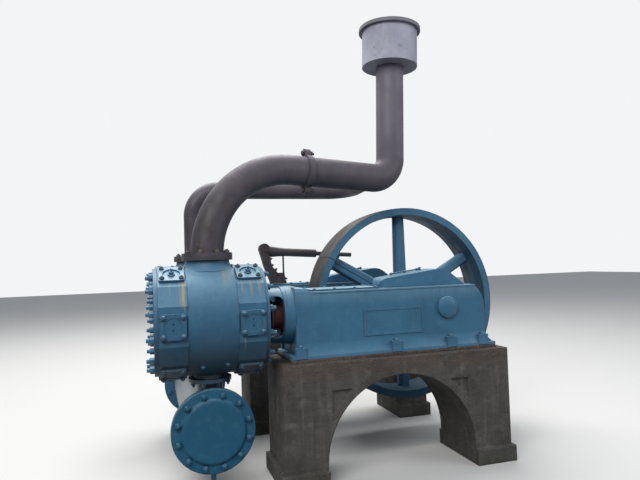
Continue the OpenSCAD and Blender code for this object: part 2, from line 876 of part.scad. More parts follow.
// Two-bolt flange with an ear above and an ear below the pipe
module joint_flange() {
    difference() {
        union() {
            cylinder(d = joint_d, h = joint_t);
            for (s = [-1, 1]) translate([s * joint_bolt_r, 0, 0]) cylinder(d = joint_ear_w, h = joint_t);
            translate([-joint_bolt_r, -joint_ear_w / 2, 0]) cube([2 * joint_bolt_r, joint_ear_w, joint_t]);
        }
        translate([0, 0, -cut]) cylinder(d = pipe_d - 2 * pipe_wall, h = joint_t + 2 * cut);
    }
}

module at_riser() {
    translate([cyl_mid_x, -line_y, axis_h + inlet_h]) rotate([0, 0, run_turn]) children();
}

riser_h = run_rise - bend_r;

// Above the flange the whole near pipe, with elbow, stack and filter, leans by run_fall
module at_run() {
    at_riser() rotate([0, run_fall, 0]) children();
}

module suction_bend() {
    pipe_foot = pipe_flange_t / 2;
    color(pipe_black) {
        difference() {
            union() {
                at_riser() cylinder(d = inlet_flange_d, h = pipe_flange_t);
                at_run() translate([0, 0, pipe_foot]) cylinder(d = pipe_d, h = riser_h - pipe_foot);
            }
            at_run() translate([0, 0, -pipe_flange_t]) cylinder(d = pipe_d - 2 * pipe_wall, h = riser_h + 2 * pipe_flange_t);
        }
        at_run() {
            translate([0, 0, riser_h]) quarter_bend(pipe_d, bend_r);
            translate([bend_r, 0, run_rise]) rotate([0, 90, 0]) tube(pipe_d, joint_at - bend_r);
            translate([joint_at - joint_t, 0, run_rise]) rotate([0, 90, 0]) joint_flange();
        }
    }
}

module suction_run() {
    color(pipe_black) at_run() translate([joint_at, 0, run_rise]) rotate([0, 90, 0]) {
        tube(pipe_d, run_reach - elbow_r - joint_at);
        joint_flange();
    }
}

// The far pipe's last leg meets the elbow from behind, at branch_a along the elbow's bend
branch_run = run_reach - elbow_r * (1 - sin(branch_a));
branch_rise = run_rise + elbow_r * (1 - cos(branch_a));
branch_along = branch_run * cos(run_fall) + branch_rise * sin(run_fall);
branch_x = cyl_mid_x + branch_along * cos(run_turn);
branch_y = branch_along * sin(run_turn) - line_y;
branch_z = axis_h + inlet_h - branch_run * sin(run_fall) + branch_rise * cos(run_fall);
far_run_h = axis_h + inlet_h + far_run_rise;
leg_y = line_y - branch_y;
leg_rise = atan((branch_z - far_run_h) / leg_y);
branch_out = pipe_d / 2 + branch_l;

// Local Z runs back along the leg, from the elbow's axis towards the far line
module at_leg() {
    translate([branch_x, branch_y, branch_z]) rotate([-90 - leg_rise, 0, 0]) children();
}

// Elbow that turns the run up into the stack, with the branch that takes the far pipe
module stack_elbow() {
    bore = pipe_d - 2 * pipe_wall;
    color(pipe_black) difference() {
        union() {
            at_run() translate([run_reach, 0, run_rise + elbow_r]) rotate([0, 180, 0]) quarter_bend(pipe_d, elbow_r);
            at_leg() cylinder(d = far_pipe_d, h = branch_out);
        }
        at_run() translate([run_reach - elbow_r, 0, run_rise + elbow_r]) rotate([90, 0, 0])
            rotate_extrude() translate([elbow_r, 0]) circle(d = bore);
        at_leg() cylinder(d = far_pipe_d - 2 * pipe_wall, h = branch_out + cut);
    }
}

// Local Z runs up the stack from the end of the elbow
module at_stack() {
    at_run() translate([run_reach, 0, run_rise + elbow_r]) children();
}

module stack_pipe() {
    color(pipe_black) at_stack() tube(pipe_d, stack_l);
}

module far_suction_bend() {
    color(pipe_black) translate([cyl_mid_x, line_y, axis_h + inlet_h]) {
        difference() {
            cylinder(d = inlet_flange_d, h = pipe_flange_t);
            translate([0, 0, -cut]) cylinder(d = far_pipe_d - 2 * pipe_wall, h = pipe_flange_t + 2 * cut);
        }
        tube(far_pipe_d, far_run_rise - far_bend_r);
        translate([0, 0, far_run_rise - far_bend_r]) quarter_bend(far_pipe_d, far_bend_r);
    }
}

// Straight run beside the near one, then a bend into the rising leg; seen from the branch
module far_suction_run() {
    leg_l = leg_y / cos(leg_rise);
    color(pipe_black) at_leg() {
        translate([0, 0, branch_out]) tube(far_pipe_d, leg_l - far_bend_r - branch_out);
        translate([0, 0, leg_l - far_bend_r]) rotate([0, 0, 180]) quarter_bend(far_pipe_d, far_bend_r);
        translate([-far_bend_r, 0, leg_l]) rotate([0, -90, 0])
            tube(far_pipe_d, branch_x - cyl_mid_x - 2 * far_bend_r);
    }
}

// Air filter on top of the stack

module filter_body() {
    color(filter_grey) at_stack() translate([0, 0, stack_l]) difference() {
        cylinder(d = filter_d, h = filter_body_h);
        translate([0, 0, sheet_t]) cylinder(d = filter_d - 2 * sheet_t, h = filter_body_h);
        translate([0, 0, -cut]) cylinder(d = pipe_d - 2 * pipe_wall, h = sheet_t + 2 * cut);
    }
}

module filter_lid() {
    skirt = lid_t / 2;
    color(filter_grey) at_stack() translate([0, 0, stack_l + filter_body_h]) {
        difference() {
            translate([0, 0, -skirt]) cylinder(d = lid_d, h = lid_t);
            translate([0, 0, -skirt - cut]) cylinder(r = filter_d / 2 + seat_clear, h = skirt + cut);
        }
        translate([0, 0, lid_t - skirt]) cylinder(d1 = filter_d, d2 = pipe_d, h = skirt);
    }
}

// Regulator on the far frame

reg_x = crank_x - reg_back;
head_at_x = reg_x - head_gap;
head_at_z = axis_h + reg_head_h;
reg_z = top_z + cover_t;

// Local Z runs along the tube, from the bracket's head towards the wheel
module at_tube() {
    translate([head_at_x, line_y, head_at_z - tube_drop]) rotate([0, 90 + tube_fall, 0]) children();
}

// Pilot body on its foot, with a bracket that leans back and carries the tube
module regulator_body() {
    leg_x = reg_x - pilot_d / 2;
    front_x0 = reg_x + pilot_cap_off - pilot_cap_d / 2 - cap_gap;
    knee_x = head_at_x + reg_head_d / 4;
    knee_z = (head_at_z + reg_z) / 2;
    color(pipe_black) difference() {
        union() {
            translate([leg_x - bracket_w / 2, line_y - pilot_d / 2, reg_z])
                cube([pilot_d + bracket_w / 2, pilot_d, reg_foot_h]);
            translate([reg_x, line_y, reg_z]) cylinder(d = pilot_d, h = axis_h + pilot_h - reg_z);
            translate([0, line_y + bracket_t / 2, 0]) rotate([90, 0, 0]) linear_extrude(bracket_t) polygon([
                [leg_x - bracket_w / 2, reg_z],
                [knee_x - bracket_w / 2, knee_z],
                [head_at_x - reg_head_d / 2, head_at_z],
                [head_at_x + bracket_w / 2, head_at_z],
                [head_at_x + bracket_w, knee_z],
                [front_x0, axis_h + pilot_h + pilot_cap_t],
                [front_x0, reg_z]
            ]);
            translate([head_at_x, line_y + bracket_t / 2, head_at_z]) rotate([90, 0, 0])
                cylinder(d = reg_head_d, h = bracket_t);
        }
        at_tube() cylinder(r = tube_d / 2 + seat_clear, h = 2 * reg_head_d);
    }
}

module regulator_cap() {
    color(pipe_black) translate([reg_x + pilot_cap_off, line_y, axis_h + pilot_h])
        cylinder(d = pilot_cap_d, h = pilot_cap_t);
}

// Wide tube and the thin pipe that goes on from it
module regulator_tube() {
    color(pipe_black) at_tube() difference() {
        union() {
            cylinder(d = tube_d, h = tube_l);
            cylinder(d = thin_d, h = tube_l + thin_l);
        }
        translate([0, 0, tube_l]) cylinder(d = thin_d - 2 * pipe_wall, h = thin_l + cut);
    }
}

module regulator_spindle() {
    z0 = axis_h + pilot_h + pilot_cap_t;
    color(steel) difference() {
        translate([reg_x + spindle_off, line_y, z0]) cylinder(d = spindle_d, h = head_at_z - z0);
        at_tube() cylinder(r = tube_d / 2 + seat_clear, h = tube_l);
        at_tube() translate([-reg_head_d, -reg_head_d / 2, 0]) cube([reg_head_d, reg_head_d, tube_l]);
    }
}

// Crankshaft and belt wheel. In the wheel's own frame the shaft lies along Z.

module at_wheel() {
    translate([crank_x, 0, axis_h]) rotate([90, 0, 0]) children();
}

module crankshaft() {
    reach = inner_y + journal_l;
    color(steel) at_wheel() translate([0, 0, -reach]) cylinder(d = shaft_d, h = 2 * reach);
}

rim_inner = wheel_d / 2 - rim_t;

// The half of the wheel above (side = -1) or below (side = 1) the parting plane
module half_space(side) {
    rotate([0, 0, split_angle]) translate([-wheel_d, side < 0 ? -wheel_d - split_gap / 2 : split_gap / 2, -rim_w])
        cube([2 * wheel_d, wheel_d, 2 * rim_w]);
}

// Bolt lugs on both sides of the parting plane
module lugs(radius, z, d, reach) {
    rotate([0, 0, split_angle]) for (x = [-radius, radius], h = [-z, z])
        translate([x, reach, h]) rotate([90, 0, 0]) cylinder(d = d, h = 2 * reach);
}

module rim_ring() {
    h = rim_w / 2;
    rotate_extrude($fn = 180) polygon([
        [rim_inner, -h],
        [wheel_d / 2 - rim_crown, -h],
        [wheel_d / 2 - rim_crown / 4, -h / 2],
        [wheel_d / 2, 0],
        [wheel_d / 2 - rim_crown / 4, h / 2],
        [wheel_d / 2 - rim_crown, h],
        [rim_inner, h],
        [rim_inner - rim_rib, h / 3],
        [rim_inner - rim_rib, -h / 3]
    ]);
}

module rim_half(side) {
    color(paint) at_wheel() intersection() {
        union() {
            rim_ring();
            difference() {
                lugs(rim_inner - rim_rib, rim_w / 4, rim_lug_d, hub_lug_h);
                difference() {
                    cylinder(d = 2 * wheel_d, h = 2 * rim_w, center = true);
                    cylinder(r = rim_inner + rim_t / 2, h = 3 * rim_w, center = true);
                }
            }
        }
        half_space(side);
    }
}

// One round arm along +X, tapering towards the rim
module arm(extra) {
    r0 = hub_d / 4;
    translate([r0, 0, 0]) rotate([0, 90, 0])
        cylinder(r1 = (arm_hub_w + extra) / 2, r2 = (arm_rim_w + extra) / 2, h = rim_inner - r0);
}

// All arms, flattened on both sides and cut to seat inside the rim
module arm_star() {
    intersection() {
        for (k = [0 : arm_count - 1]) rotate([0, 0, split_angle + k * 360 / arm_count])
            arm(k % (arm_count / 2) == 0 ? split_arm_extra : 0);
        cylinder(r = rim_inner - rim_rib - seat_clear, h = arm_t, center = true);
    }
}

module arms_half(side) {
    color(paint) at_wheel() difference() {
        intersection() {
            union() {
                cylinder(d = hub_d, h = hub_w, center = true);
                arm_star();
                lugs(hub_d / 2, hub_w / 2 - hub_lug_in - hub_lug_d / 2, hub_lug_d, hub_lug_h);
            }
            half_space(side);
        }
        cylinder(r = shaft_d / 2 + seat_clear, h = 2 * hub_w, center = true);
    }
}

module near() {
    mirror([0, 1, 0]) children();
}

color(concrete) near() foundation();  // near_foundation
color(concrete) foundation();  // far_foundation
near() grout();  // near_grout
grout();  // far_grout
color(paint) near() frame();  // near_frame
color(paint) frame();  // far_frame
color(paint) near() cover_plate();  // near_cover_plate
color(paint) cover_plate();  // far_cover_plate
color(paint) near() crank_hood();  // near_crank_hood
color(paint) crank_hood();  // far_crank_hood
color(paint) near() main_bearing();  // near_main_bearing
color(paint) main_bearing();  // far_main_bearing
color(paint) near() distance_piece();  // near_distance_piece
color(paint) distance_piece();  // far_distance_piece
color(oxide) near() rod_gland();  // near_rod_gland
color(oxide) rod_gland();  // far_rod_gland
color(steel) near() piston_rod();  // near_piston_rod
color(steel) piston_rod();  // far_piston_rod
color(paint) near() cylinder_body();  // near_cylinder
color(paint) cylinder_body();  // far_cylinder
color(paint) near() outer_head();  // near_outer_head
color(paint) outer_head();  // far_outer_head
color(paint) near() valve_covers();  // near_valve_covers
color(paint) valve_covers();  // far_valve_covers
drum_shell();
color(paint) near() drum_cover();  // drum_near_cover
color(paint) drum_cover();  // drum_far_cover
drum_drain();
suction_bend();
suction_run();
stack_elbow();
stack_pipe();
far_suction_bend();
far_suction_run();
filter_body();
filter_lid();
regulator_body();
regulator_cap();
regulator_tube();
regulator_spindle();
crankshaft();
rim_half(-1);  // wheel_rim_upper
rim_half(1);  // wheel_rim_lower
arms_half(-1);  // wheel_arms_upper
arms_half(1);  // wheel_arms_lower
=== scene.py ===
# %% [markdown]
# # A horizontal duplex air compressor on its foundations
# Two cylinder lines lie side by side on arched concrete blocks. A belt wheel
# turns between them, and dark suction pipes come down from one air filter.
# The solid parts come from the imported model, because they have to fit and to
# turn. This lesson gives them their finishes and adds what is too small or
# too soft for them: nuts, studs, screws, rounded covers and thin pipes.

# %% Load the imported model
import math

import bmesh
import bpy
from mathutils import Matrix, Vector


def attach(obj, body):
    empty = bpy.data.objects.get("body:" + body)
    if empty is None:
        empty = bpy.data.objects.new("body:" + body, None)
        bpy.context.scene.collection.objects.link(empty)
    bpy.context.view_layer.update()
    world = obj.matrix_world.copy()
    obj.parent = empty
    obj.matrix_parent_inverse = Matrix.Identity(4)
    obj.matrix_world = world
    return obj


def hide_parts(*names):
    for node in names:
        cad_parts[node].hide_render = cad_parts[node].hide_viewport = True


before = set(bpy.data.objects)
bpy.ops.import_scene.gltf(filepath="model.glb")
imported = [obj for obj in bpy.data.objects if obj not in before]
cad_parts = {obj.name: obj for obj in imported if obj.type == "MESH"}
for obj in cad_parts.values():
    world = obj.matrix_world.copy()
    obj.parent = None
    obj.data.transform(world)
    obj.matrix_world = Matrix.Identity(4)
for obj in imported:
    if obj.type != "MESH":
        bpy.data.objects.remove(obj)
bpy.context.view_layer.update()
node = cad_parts

# %% [markdown]
# ## The camera
# The picture was taken by hand, a little to the left of the cylinders. The
# camera stood 1.475 m above the ground, looked slightly up and leaned to one
# side. A tracking constraint could aim it, but it would keep the picture
# level. Three plain turns give the real view: yaw, tilt and roll.

# %% Camera
EYE = Vector((-1.4225, -4.42, 1.475))
YAW, TILT, ROLL = math.radians(-16.8688), math.radians(92.0777), math.radians(-1.8348)

camera_data = bpy.data.cameras.new("camera")
camera_data.sensor_width = 36.0
camera_data.lens = 31.495
camera = bpy.data.objects.new("camera", camera_data)
bpy.context.scene.collection.objects.link(camera)
camera.matrix_world = (Matrix.Translation(EYE) @ Matrix.Rotation(YAW, 4, "Z")
                       @ Matrix.Rotation(TILT, 4, "X") @ Matrix.Rotation(ROLL, 4, "Z"))
bpy.context.scene.camera = camera
print("camera at", tuple(EYE), "with a lens of", camera_data.lens, "mm")

# %% [markdown]
# ## Floor and light
# A pale floor and a pale world stand in for the studio. The floor is one large
# plane.
# A picture of a sky could light the scene, but three soft lamps and a plain
# sky are easier to steer. The camera and the reflections see floor and sky
# pale, through Light Path, while the light that the floor throws back up is
# weak, as from bare ground.

# %% Helpers for objects
scene = bpy.context.scene
scene.view_settings.view_transform = "Standard"


def deselect_all():
    bpy.ops.object.select_all(action="DESELECT")


def pick(*objects):
    """Select just these objects and make the first one active."""
    deselect_all()
    for one in objects:
        one.select_set(True)
    bpy.context.view_layer.objects.active = objects[0]


def bake_place(piece):
    """Move an object's place, turn and size into its mesh."""
    pick(piece)
    bpy.ops.object.transform_apply(location=True, rotation=True, scale=True)
    return piece


# %% Floor
deselect_all()
bpy.ops.mesh.primitive_plane_add(size=60, location=(0, 0, 0))
floor = bpy.context.object
floor.name = "floor"


def seen_or_not(tree, seen, unseen, output):
    """Give one shader to the camera and to reflections, another to scattered light."""
    rays = tree.nodes.new("ShaderNodeLightPath")
    total = rays.outputs["Is Camera Ray"]
    for kind in ("Is Glossy Ray", "Is Transmission Ray"):
        either = tree.nodes.new("ShaderNodeMath")
        either.operation = "MAXIMUM"
        tree.links.new(total, either.inputs[0])
        tree.links.new(rays.outputs[kind], either.inputs[1])
        total = either.outputs[0]
    choice = tree.nodes.new("ShaderNodeMixShader")
    tree.links.new(total, choice.inputs[0])
    tree.links.new(unseen.outputs[0], choice.inputs[1])
    tree.links.new(seen.outputs[0], choice.inputs[2])
    tree.links.new(choice.outputs[0], output.inputs["Surface"])


floor_look = bpy.data.materials.new("pale_floor")
floor_look.use_nodes = True
floor_tree = floor_look.node_tree
pale = floor_tree.nodes["Principled BSDF"]
pale.inputs["Base Color"].default_value = (0.64, 0.635, 0.62, 1)
pale.inputs["Roughness"].default_value = 0.95
dim = floor_tree.nodes.new("ShaderNodeBsdfDiffuse")
dim.inputs["Color"].default_value = (0.07, 0.065, 0.06, 1)
seen_or_not(floor_tree, pale, dim, floor_tree.nodes["Material Output"])
floor.data.materials.append(floor_look)
print("floor", tuple(floor.dimensions))

# %% World
world = bpy.data.worlds.new("studio")
scene.world = world
world.use_nodes = True
sky = world.node_tree
soft_light = sky.nodes["Background"]
soft_light.inputs["Color"].default_value = (0.84, 0.90, 1.0, 1)
soft_light.inputs["Strength"].default_value = 0.36
backdrop = sky.nodes.new("ShaderNodeBackground")
backdrop.inputs["Color"].default_value = (0.94, 0.955, 0.97, 1)
backdrop.inputs["Strength"].default_value = 0.95
seen_or_not(sky, backdrop, soft_light, sky.nodes["World Output"])
print("world", world.name)


# %% Lamps
def soft_lamp(name, place, target, size, watts, colour):
    """A square area lamp that points at the target."""
    lamp_data = bpy.data.lights.new(name, "AREA")
    lamp_data.size = size
    lamp_data.energy = watts
    lamp_data.color = colour
    lamp = bpy.data.objects.new(name, lamp_data)
    scene.collection.objects.link(lamp)
    lamp.location = place
    way = Vector(target) - Vector(place)
    lamp.rotation_euler = way.to_track_quat("-Z", "Y").to_euler()
    print(name, watts, "W, from", place)


WARM, COOL = (1.0, 0.99, 0.97), (0.9, 0.95, 1.0)
soft_lamp("sky_lamp", (-0.8, 4.0, 10.0), (0, 0, 1.0), 8.0, 1250, WARM)
soft_lamp("key_lamp", (-4.0, -5.5, 6.0), (0, 0, 1.1), 4.0, 380, WARM)
soft_lamp("fill_lamp", (5.5, -4.5, 4.0), (0.3, 0, 1.0), 3.5, 120, COOL)

# %% [markdown]
# ## Building blocks for the finishes
# Every finish mixes the same few effects: cloudy blotches, streaks that run
# down, worn edges and the dust that settles on what faces up. They could be
# wired anew in each material. Made once as node groups they stay alike
# everywhere, and each material only sets its own values.

# %% Helpers for shader nodes
def put(tree, value, socket):
    """Link a socket, or set a plain value."""
    if isinstance(value, bpy.types.NodeSocket):
        tree.links.new(value, socket)
    else:
        socket.default_value = value


def maths(tree, operation, a, b=0.0):
    made = tree.nodes.new("ShaderNodeMath")
    made.operation = operation
    put(tree, a, made.inputs[0])
    put(tree, b, made.inputs[1])
    return made.outputs[0]


def times(tree, a, b):
    return maths(tree, "MULTIPLY", a, b)


def blend_colour(tree, amount, a, b):
    made = tree.nodes.new("ShaderNodeMix")
    made.data_type = "RGBA"
    put(tree, amount, made.inputs[0])
    put(tree, a, made.inputs[6])
    put(tree, b, made.inputs[7])
    return made.outputs[2]


def tint(tree, colour, mask, amount, target):
    """Blend a colour towards the target, as far as the mask times the amount."""
    return blend_colour(tree, times(tree, mask, amount), colour, target)


def step_between(tree, value, low, high):
    """0 below low, 1 above high, smooth between."""
    made = tree.nodes.new("ShaderNodeMapRange")
    made.interpolation_type = "SMOOTHSTEP"
    put(tree, value, made.inputs["Value"])
    put(tree, low, made.inputs["From Min"])
    put(tree, high, made.inputs["From Max"])
    return made.outputs["Result"]


def noise(tree, where, scale, detail=4.0, roughness=0.55):
    made = tree.nodes.new("ShaderNodeTexNoise")
    put(tree, where, made.inputs["Vector"])
    put(tree, scale, made.inputs["Scale"])
    made.inputs["Detail"].default_value = detail
    made.inputs["Roughness"].default_value = roughness
    return made.outputs["Fac"]


# %% Helpers for places
def place_of(tree, stretch=(1, 1, 1)):
    """Object coordinates, stretched along the axes."""
    where = tree.nodes.new("ShaderNodeTexCoord").outputs["Object"]
    mapping = tree.nodes.new("ShaderNodeMapping")
    mapping.inputs["Scale"].default_value = stretch
    tree.links.new(where, mapping.inputs["Vector"])
    return mapping.outputs["Vector"]


def split_axes(tree, vector):
    made = tree.nodes.new("ShaderNodeSeparateXYZ")
    tree.links.new(vector, made.inputs[0])
    return made.outputs


def reach_from(tree, a, a_axis, b, b_axis):
    """The distance from an axis that lies at a_axis and b_axis."""
    squares = [maths(tree, "POWER", maths(tree, "SUBTRACT", value, axis), 2.0)
               for value, axis in ((a, a_axis), (b, b_axis))]
    return maths(tree, "SQRT", maths(tree, "ADD", *squares))


# %% Helpers for node groups
def new_group(name, numbers, results):
    """An empty node group with number inputs and number results."""
    made = bpy.data.node_groups.new(name, "ShaderNodeTree")
    for label, value in numbers:
        socket = made.interface.new_socket(label, in_out="INPUT", socket_type="NodeSocketFloat")
        socket.default_value = value
    for label in results:
        made.interface.new_socket(label, in_out="OUTPUT", socket_type="NodeSocketFloat")
    given = made.nodes.new("NodeGroupInput").outputs
    return made, given, made.nodes.new("NodeGroupOutput").inputs


def use_group(tree, group, **numbers):
    made = tree.nodes.new("ShaderNodeGroup")
    made.node_tree = group
    for label, value in numbers.items():
        put(tree, value, made.inputs[label])
    return made.outputs[0]


# %% Blotches
blotches, given, result = new_group("blotches", [("Scale", 3.0), ("Low", 0.45), ("High", 0.6)],
                                    ["Mask"])
cloud = noise(blotches, place_of(blotches), given["Scale"], 7.0, 0.62)
blotches.links.new(step_between(blotches, cloud, given["Low"], given["High"]), result["Mask"])

# %% Streaks
streaks, given, result = new_group("streaks", [("Scale", 30.0), ("Low", 0.5), ("High", 0.62)],
                                   ["Mask"])
run = noise(streaks, place_of(streaks, (1, 1, 0.07)), given["Scale"], 3.0, 0.5)
streaks.links.new(step_between(streaks, run, given["Low"], given["High"]), result["Mask"])

# %% Facing up
facing_up, given, result = new_group("facing_up", [("Low", 0.5), ("High", 0.95)], ["Mask"])
normal = facing_up.nodes.new("ShaderNodeNewGeometry").outputs["Normal"]
upwards = split_axes(facing_up, normal)[2]
facing_up.links.new(step_between(facing_up, upwards, given["Low"], given["High"]), result["Mask"])

# %% Worn edges
worn_edge, given, result = new_group("worn_edge", [("Radius", 0.006), ("Amount", 0.5)], ["Mask"])
rounded = worn_edge.nodes.new("ShaderNodeBevel")
rounded.samples = 4
worn_edge.links.new(given["Radius"], rounded.inputs["Radius"])
true_normal = worn_edge.nodes.new("ShaderNodeNewGeometry").outputs["True Normal"]
compare = worn_edge.nodes.new("ShaderNodeVectorMath")
compare.operation = "DOT_PRODUCT"
worn_edge.links.new(rounded.outputs[0], compare.inputs[0])
worn_edge.links.new(true_normal, compare.inputs[1])
bent = maths(worn_edge, "SUBTRACT", 1.0, compare.outputs["Value"])
edge = step_between(worn_edge, bent, 0.02, 0.2)
patchy = step_between(worn_edge, noise(worn_edge, place_of(worn_edge), 14.0, 5.0, 0.7), 0.42, 0.62)
edge = times(worn_edge, times(worn_edge, edge, patchy), given["Amount"])
worn_edge.links.new(edge, result["Mask"])
print("node groups:", [g.name for g in bpy.data.node_groups])


# %% A new material
def new_material(name, slot_name):
    made = bpy.data.materials.new(name)
    made.use_nodes = True
    made["slot_name"] = slot_name
    print("material", name, "in slot", slot_name)
    return made, made.node_tree, made.node_tree.nodes["Principled BSDF"]


def bumps(tree, shader, layers, edge_radius=0.004):
    """Stack bump layers (height, distance in metres, strength) over softly rounded edges."""
    soft = tree.nodes.new("ShaderNodeBevel")
    soft.samples = 4
    soft.inputs["Radius"].default_value = edge_radius
    last = soft.outputs[0]
    for height, distance, strength in layers:
        bump = tree.nodes.new("ShaderNodeBump")
        bump.inputs["Distance"].default_value = distance
        bump.inputs["Strength"].default_value = strength
        put(tree, height, bump.inputs["Height"])
        tree.links.new(last, bump.inputs["Normal"])
        last = bump.outputs[0]
    tree.links.new(last, shader.inputs["Normal"])


# %% [markdown]
# ## Blue machine paint
# The castings wear thick blue paint over a rough skin. Faces that look up are
# made paler with painted sky light, the paint is deeper in cloudy patches, the
# corners carry painted shade and grime, and the edges are thin, where brown
# metal shows. Brushed images could give all that, but masks that follow place
# and shape fit every casting without unwrapping. One function makes the paint,
# and each piece's paint changes a few values: its base, the strength of the
# painted sky light, fades between two heights, and stains of its own.

# %% Paint
PAINT = (0.042, 0.152, 0.258, 1)
PAINT_DEEP = (0.032, 0.118, 0.208, 1)
# A pale blue, for pale spots in the paint and for painted sky light.
PALE_PAINT_AND_SKY_LIGHT = (0.225, 0.390, 0.500, 1)
# A near black, for painted shade and for oil.
SHADE_AND_OIL_DARK = (0.018, 0.030, 0.042, 1)
BARE_METAL = (0.090, 0.060, 0.045, 1)
# A dark colour for painted shade and grime in corners.
CORNER_SHADE_AND_GRIME = (0.030, 0.040, 0.045, 1)


def by_height(tree, colour, start, end, amount, target):
    """Blend towards a colour between two heights above the ground, with a ragged edge."""
    height = split_axes(tree, place_of(tree))[2]
    ragged = maths(tree, "ADD", height, times(tree, noise(tree, place_of(tree), 5.0, 3.0), 0.08))
    return tint(tree, colour, step_between(tree, ragged, start, end), amount, target)


# sky is the strength of the painted sky light on faces that look up, and low is where it begins.
def machine_paint(name, base=PAINT, deep=PAINT_DEEP, corner_shade_and_grime=0.5, skin=0.35, sky=0.42, low=0.45,
                  dull_from=0.34, fades=(), stains=None):
    made, tree, shader = new_material(name, "paint")
    clouds = use_group(tree, blotches, Scale=2.6, Low=0.38, High=0.68)
    colour = blend_colour(tree, clouds, base, deep)
    light_spots = use_group(tree, blotches, Scale=17.0, Low=0.50, High=0.80)
    colour = tint(tree, colour, light_spots, 0.12, PALE_PAINT_AND_SKY_LIGHT)
    # Painted sky light: faces that look up are blended towards the pale blue.
    sky_lit_side = use_group(tree, facing_up, Low=low, High=0.95)
    colour = tint(tree, colour, sky_lit_side, sky, PALE_PAINT_AND_SKY_LIGHT)
    for fade in fades:
        colour = by_height(tree, colour, *fade)
    # Painted shade and grime: corners found by ambient occlusion are darkened.
    corner = tree.nodes.new("ShaderNodeAmbientOcclusion")
    corner.samples = 6
    corner.inputs["Distance"].default_value = 0.05
    shaded_corners = step_between(tree, maths(tree, "SUBTRACT", 1.0, corner.outputs["AO"]), 0.25, 0.85)
    colour = tint(tree, colour, shaded_corners, corner_shade_and_grime, CORNER_SHADE_AND_GRIME)
    runs = use_group(tree, streaks, Scale=34.0, Low=0.56, High=0.72)
    colour = tint(tree, colour, runs, 0.22, deep)
    if stains:
        colour = stains(tree, colour)
    bare = use_group(tree, worn_edge, Radius=0.005, Amount=0.55)
    tree.links.new(blend_colour(tree, bare, colour, BARE_METAL), shader.inputs["Base Color"])
    dull = times(tree, use_group(tree, blotches, Scale=5.0, Low=0.3, High=0.7), 0.22)
    tree.links.new(maths(tree, "ADD", dull, dull_from), shader.inputs["Roughness"])
    shader.inputs["Specular IOR Level"].default_value = 0.36
    where = place_of(tree)
    bumps(tree, shader, [(noise(tree, where, 9.0, 3.0), 0.010, 0.25 * skin),
                         (noise(tree, where, 95.0, 4.0), 0.0016, skin)])
    return made


# %% [markdown]
# ## Rust water on the cylinders
# Yellow rust water has run down below the upper valve covers. Each run could
# be painted on an image. Here it is a narrow mask across X that sways a
# little and fades out downwards, so one small node group makes them all from
# five numbers. The intake flange is as brown as the pipe that stands on it.

# %% One run of rust water
drip, given, result = new_group("drip", [("Across", 0.0), ("Top", 1.4), ("Bottom", 1.2),
                                         ("Width", 0.01), ("Amount", 0.5)], ["Mask"])
SWAY = 0.008
axes = split_axes(drip, place_of(drip))
sway = times(drip, noise(drip, place_of(drip, (0.2, 0.2, 1)), 5.0, 1.0), SWAY)
swayed_x = maths(drip, "ADD", axes[0], maths(drip, "SUBTRACT", sway, SWAY / 2))
off = maths(drip, "ABSOLUTE", maths(drip, "SUBTRACT", swayed_x, given["Across"]))
narrow = step_between(drip, off, given["Width"], times(drip, given["Width"], 0.3))
start = step_between(drip, axes[2], given["Top"], maths(drip, "SUBTRACT", given["Top"], 0.006))
fade = step_between(drip, axes[2], given["Bottom"], maths(drip, "ADD", given["Bottom"], 0.09))
threads = noise(drip, place_of(drip, (1, 0.04, 0.04)), 90.0, 2.0)
broken = step_between(drip, threads, 0.30, 0.60)
mask = times(drip, times(drip, narrow, start), times(drip, fade, broken))
drip.links.new(times(drip, mask, given["Amount"]), result["Mask"])

# %% Stains of the cylinders
RUST_WATER = (0.370, 0.300, 0.115, 1)
FLANGE_BROWN = (0.040, 0.032, 0.034, 1)
NECK_TOP = 1.497
# Across, top, bottom, width and amount of each run
RUNS = [(-1.247, 1.40, 1.19, 0.020, 0.75), (-1.232, 1.38, 1.15, 0.009, 0.45),
        (-1.320, 1.37, 1.26, 0.010, 0.25), (-0.876, 1.40, 1.26, 0.010, 0.45),
        (-0.821, 1.40, 1.24, 0.016, 0.35), (-0.765, 1.40, 1.25, 0.018, 0.45),
        (-0.965, 1.43, 1.30, 0.035, 0.35), (-0.874, 1.02, 0.88, 0.006, 0.55)]


def cylinder_stains(tree, colour):
    """Runs of rust water, and the brown intake flange with the shade under it."""
    for across, top, bottom, width, amount in RUNS:
        mask = use_group(tree, drip, Across=across, Top=top, Bottom=bottom, Width=width,
                         Amount=amount)
        colour = blend_colour(tree, mask, colour, RUST_WATER)
    height = split_axes(tree, place_of(tree))[2]
    under_flange = step_between(tree, height, NECK_TOP - 0.029, NECK_TOP)
    colour = tint(tree, colour, under_flange, 0.45, SHADE_AND_OIL_DARK)
    flange = step_between(tree, height, NECK_TOP - 0.001, NECK_TOP + 0.002)
    return tint(tree, colour, flange, 0.92, FLANGE_BROWN)


print(len(RUNS), "runs of rust water")

# %% [markdown]
# ## The paint of each piece
# Frames and hoods are paler on top with painted sky light. The cylinders and
# their covers turn nearly black low down, with painted shade on the undersides
# and the oil that collects there, and the nuts are painted over thickly.
# A gradient could be painted by hand for each. A fade between two heights is
# one row of numbers, and it comes out alike on both lines.

# %% Paint of frames, cylinders and nuts
# The frame is paler at the top with painted sky light, and a little paler towards the base.
frame_paint = machine_paint("frame_paint", sky=0.6, fades=[(1.18, 1.30, 0.30, PALE_PAINT_AND_SKY_LIGHT),
                                                           (0.94, 0.86, 0.15, PALE_PAINT_AND_SKY_LIGHT)])
hood_paint = machine_paint("hood_paint", base=(0.042, 0.142, 0.240, 1), sky=0.55, low=0.6)
